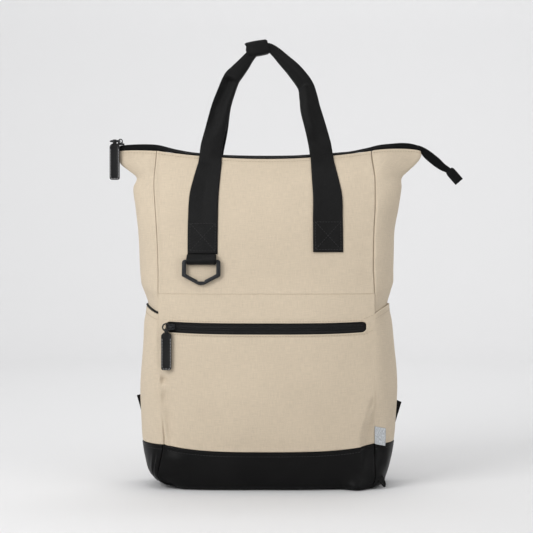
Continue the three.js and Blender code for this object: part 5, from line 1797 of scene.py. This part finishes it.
def seat_on(piece, points):
    """The nearest points of a piece's surface and their normals, in millimetres."""
    found = [piece.closest_point_on_mesh(Vector(point * MM)) for point in points]
    places, normals = (np.array([hit[column] for hit in found]) for column in (1, 2))
    return places / MM, normals


def read_along(path, along, places):
    """Points of a path at distances along it."""
    return np.column_stack([np.interp(places, along, path[:, i]) for i in range(path.shape[1])])


def stitch_row(piece, path, sizes, lift):
    """Stitches along a path that lies just outside a piece."""
    pitch = (sizes.stitch + sizes.stitch_gap) / MM
    along = lengths(path[None], 1)[0]
    count = max(1, int(along[-1] / pitch))
    centres = (np.arange(count) + 0.5) * along[-1] / count
    seats, normals = seat_on(piece, read_along(path, along, centres))
    ahead, behind = (read_along(path, along, centres + aim) for aim in (STITCH_AIM, -STITCH_AIM))
    tangents = unit(ahead - behind)
    tangents = unit(tangents - normals * (tangents * normals).sum(1, keepdims=True))
    across = np.cross(normals, tangents)
    long, wide, tall, faces = stitch_template()
    length, girth = sizes.stitch / MM, sizes.thread / MM / 2
    points = ((seats + normals * lift)[:, None]
              + tangents[:, None] * (long * length)[:, None]
              + across[:, None] * (wide * girth)[:, None]
              + normals[:, None] * (tall * girth)[:, None])
    return points.reshape(-1, 3), [face + i * len(long) for i in range(count) for face in faces]


PATH_LIFT = 3.0
BOX_LIFT = 4.0
# Sewn rows: shares of a face, a side's hem, a slip pocket and a base wall that they run over
FACE_ROW = (-0.985, 0.985)
SIDE_ROW = (0.02, 0.44)
SLIP_ROW = (0.03, 0.97)
BASE_ROW = (0.02, 0.98)
# The rows along the pocket's slot: their ends, and the bend at the right one
SLOT_ROW = (ZIP_LEFT + 4, 134)
SLOT_ROW_BEND = 4
SLOT_ROW_BEND_FROM = ZIP_RIGHT - 6
# Sewn boxes on the handles: piece, way to the skin, x, lower and upper edge
BOX_INSET = 3
LEFT_LEG, RIGHT_LEG = LEGS[0][1:3]
LEG_BOXES = (
    ("front_handle", on_front, LEFT_LEG, LEG_END_LEFT + 4, 336),
    ("front_handle", on_front, RIGHT_LEG, LEG_END_RIGHT + 3, 338),
    ("back_handle", on_back, LEFT_LEG, BACK_LEG_END + 4, 366),
    ("back_handle", on_back, RIGHT_LEG, BACK_LEG_END + 4, 366),
)
# The rows along a pad: distance from its middle as a share of its width, the direction across it, how far
# off it they start, and their points
PAD_ROW = 0.41
PAD_ROW_ACROSS = np.array([1, 0, 0.25])
PAD_ROW_LIFT = 8
PAD_ROW_POINTS = 160
# The row on an anchor tab: x, z
ANCHOR_ROW = ((131, 72), (131, 110), (158, 104), (158, 84), (131, 72))
# The row round a pull: distances from its sides and its end, cut of its corners, and start below the eye
PULL_ROW = {"side": 1.4, "end": 1.5, "corner": 1.5, "start": 9}


def skin_path(s, z):
    """A path round the skin, just outside it."""
    return behind_skin(s, np.broadcast_to(z, s.shape), np.full(s.shape, -PATH_LIFT))


def polyline(corners, step=1.0):
    """Points along straight lines between corners."""
    corners = np.asarray(corners, float)
    along = lengths(corners[None], 1)[0]
    return read_along(corners, along, np.linspace(0, along[-1], max(2, round(along[-1] / step)) + 1))


def box_and_cross(x, low, high, half):
    """The outlines of a sewn box with a cross in it, as lists of x and z."""
    box = [(x - half, low), (x + half, low), (x + half, high), (x - half, high), (x - half, low)]
    return [box, [(x - half, low), (x + half, high)], [(x - half, high), (x + half, low)]]


def canvas_rows():
    """Rows of stitches on the canvas, each as a piece and a path just outside it."""
    hem = MOUTH - HEM_STITCH
    share = (1 + np.linspace(*FACE_ROW, 300)) / 2
    yield "front_cloth", skin_path(share, hem)
    yield "back_cloth", skin_path(2 + share, hem)
    turn = np.linspace(*SIDE_ROW, 80)
    for side, face, _ in SIDES:
        for part in (turn, 1 - turn):
            yield f"side_cloth_{side}", skin_path(face + part, hem)
        s = face + np.linspace(*SLIP_ROW, 160)
        yield f"slip_pocket_{side}", skin_path(s, slip_mouth(s) - SLIP_STITCH)
    x = np.linspace(*SLOT_ROW, 300)
    bend = SLOT_ROW_BEND * smoothstep(x, SLOT_ROW_BEND_FROM, SLOT_ROW[1])
    for off in (-SLOT_HALF - SLOT_STITCH, SLOT_HALF + SLOT_STITCH):
        yield "pocket_cloth", on_front(x, ZIP_Z + off + bend, np.full(x.shape, PATH_LIFT))


def webbing_rows():
    """Rows of stitches on the handles, pads and anchor tabs, each as a piece and a path."""
    for piece, place, middle, low, high in LEG_BOXES:
        for line in box_and_cross(middle, low, high, WEBBING_WIDTH / 2 - BOX_INSET):
            x, z = polyline(line).T
            yield piece, place(x, z, np.full(x.shape, BOX_LIFT))
    for side, _, hand in SIDES:
        table = [(step, hand * x, y + PAD_ROW_LIFT, z, w) for step, (x, y, z, w, _) in enumerate(PAD)]
        at = smooth_table(table)(np.linspace(0, len(PAD) - 1, PAD_ROW_POINTS))
        for off in (-1, 1):
            yield f"shoulder_pad_{side}", at[:, :3] + off * hand * PAD_ROW * at[:, 3:] * PAD_ROW_ACROSS
        x, z = polyline(ANCHOR_ROW).T
        yield f"strap_tab_{side}", np.column_stack([hand * x, anchor_y(hand, x, z) + BOX_LIFT, z])


def pull_rows():
    """Rows of stitches round the pulls, each as a piece and a path."""
    for zip_name in ("top", "pocket"):
        low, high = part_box(f"{zip_name}_pull")
        x, y = (low.x + high.x) / 2 / MM, low.y / MM
        top = high.z / MM - PULL_EYE["outer"]
        half, cut = PULL_WIDTH / 2 - PULL_ROW["side"], PULL_ROW["corner"]
        start, end = top - PULL_ROW["start"], top - PULL_LENGTH + PULL_ROW["end"]
        corners = [(x - half, y, start), (x - half, y, end + cut), (x - half + cut, y, end),
                   (x + half - cut, y, end), (x + half, y, end + cut), (x + half, y, start)]
        yield f"{zip_name}_zip_pull", polyline(corners)


def base_rows():
    """Rows of stitches in the base's channel, each as a piece and a path just outside it."""
    for side, face in WALLS:
        yield f"leather_{side}", skin_path(face + np.linspace(*BASE_ROW, 260), BASE_TOP - BASE_CHANNEL[0])


# Sewn rows: name, where they run, finish, slot, and how far the thread's middle lies above the piece
THREADS = (
    ("canvas_stitches", canvas_rows, "canvas_thread", "canvas", 0.12),
    ("webbing_stitches", webbing_rows, "dark_thread", "webbing", 0.12),
    ("pull_stitches", pull_rows, "pull_thread", "pull_leather", 0.12),
    ("base_stitches", base_rows, "base_thread", "base_leather", 0.05),
)


class TOTE_OT_stitching(Operator):
    """Sew the rows of stitches on the canvas, webbing and leather"""

    bl_idname = "tote.stitching"
    bl_label = "Stitching"

    def execute(self, context):
        sizes = context.scene.tote_sizes
        for name, rows, finish_name, slot, lift in THREADS:
            sewn = [stitch_row(bpy.data.objects[piece], path, sizes, lift) for piece, path in rows()]
            dress(mesh_object(name, *merged(sewn)), finish_name, slot)
        return {"FINISHED"}


# Stage

# The stage's places and sizes are in metres
CAMERA_PLACE = (-0.0006, -1.8, 0.282)
CAMERA_LENS = 93.5
# Lights: name, place, aim, size, power
LIGHTS = (
    ("key", (-1.45, -1.45, 1.2), (0, 0, 0.3), 1.2, 31),
    ("fill", (1.9, -1.5, 0.8), (0, 0, 0.3), 1.6, 13.5),
    ("top", (-0.2, -0.4, 2.4), (0, 0, 0.3), 1.8, 13),
    ("backdrop", (0.3, 1.5, 3.2), (0.1, 3.6, 0.9), 2.0, 52),
)
WORLD_LIGHT = 0.53
# The round sweep: radius of the flat floor, radius of the bend, height of the wall and number of sides
SWEEP = {"floor": 2.4, "bend": 1.2, "top": 2.6, "sides": 96}


class TOTE_OT_stage(Operator):
    """Set up the pale floor and backdrop, the soft lights and the camera"""

    bl_idname = "tote.stage"
    bl_label = "Stage"

    def execute(self, context):
        scene = context.scene
        turn = np.linspace(0, np.pi / 2, 25)
        flat, bend, count = SWEEP["floor"], SWEEP["bend"], SWEEP["sides"]
        reach = np.append(flat + bend * np.sin(turn), flat + bend)
        level = np.append(bend * (1 - np.cos(turn)), SWEEP["top"])
        around = np.linspace(0, 2 * np.pi, count + 1)[:-1]
        x, y = np.outer(reach, np.cos(around)), np.outer(reach, np.sin(around))
        points = np.stack(np.broadcast_arrays(x, y, level[:, None]), axis=-1).reshape(-1, 3) / MM
        walls = grid_cells(len(reach), count, True).reshape(-1, 4)[:, ::-1]
        sweep = mesh_object("studio_sweep", points, [*walls, np.arange(count)])
        paper = Finish("pale_paper", scene.tote_colours.floor, 0.85)
        paper.bump(paper.noise(paper.body_place(), 400, 2), 0.05, 0.0002)
        sweep.data.materials.append(paper.material)
        sweep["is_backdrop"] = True

        for name, place, aim, size, power in LIGHTS:
            light = bpy.data.lights.new(name, "AREA")
            light.size = size
            light.energy = power
            lamp = bpy.data.objects.new(name, light)
            lamp.location = place
            lamp.rotation_euler = (Vector(aim) - Vector(place)).to_track_quat("-Z", "Y").to_euler()
            scene.collection.objects.link(lamp)
        world = bpy.data.worlds.new("studio")
        world.use_nodes = True
        world.node_tree.nodes["Background"].inputs["Color"].default_value = (1, 1, 1, 1)
        world.node_tree.nodes["Background"].inputs["Strength"].default_value = WORLD_LIGHT
        scene.world = world
        scene.view_settings.view_transform = "Standard"

        lens = bpy.data.cameras.new("camera")
        lens.lens = CAMERA_LENS
        camera = bpy.data.objects.new("camera", lens)
        camera.location = CAMERA_PLACE
        camera.rotation_euler = (np.pi / 2, 0, 0)
        scene.collection.objects.link(camera)
        scene.camera = camera
        return {"FINISHED"}


OPERATORS = (
    TOTE_OT_stage,
    TOTE_OT_canvas_panels,
    TOTE_OT_slip_pockets,
    TOTE_OT_leather_base,
    TOTE_OT_top_zip,
    TOTE_OT_pocket_zip,
    TOTE_OT_zip_pulls,
    TOTE_OT_handles,
    TOTE_OT_hanging_ring,
    TOTE_OT_label,
    TOTE_OT_shoulder_straps,
    TOTE_OT_stitching,
)


class TOTE_PT_panel(Panel):
    """Lists the tote's pieces, sizes and colours"""

    bl_idname = "TOTE_PT_panel"
    bl_label = "Backpack Tote"
    bl_space_type = "VIEW_3D"
    bl_region_type = "UI"
    bl_category = "Tote"

    def draw(self, context):
        for group in (context.scene.tote_sizes, context.scene.tote_colours):
            box = self.layout.box()
            for name in group.__annotations__:
                box.prop(group, name)
        for operator in OPERATORS:
            self.layout.operator(operator.bl_idname)


CLASSES = (ToteSizes, ToteColours, *OPERATORS, TOTE_PT_panel)


def register():
    for item in CLASSES:
        bpy.utils.register_class(item)
    bpy.types.Scene.tote_sizes = PointerProperty(type=ToteSizes)
    bpy.types.Scene.tote_colours = PointerProperty(type=ToteColours)


def unregister():
    del bpy.types.Scene.tote_colours
    del bpy.types.Scene.tote_sizes
    for item in reversed(CLASSES):
        bpy.utils.unregister_class(item)


def main():
    register()
    for operator in OPERATORS:
        group, name = operator.bl_idname.split(".")
        getattr(getattr(bpy.ops, group), name)()
    boxes = {"cad": CAD_BOX, "visual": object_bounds()}
    plain = {key: [[float(v) for v in corner] for corner in box] for key, box in boxes.items()}


if __name__ == "__main__":
    main()
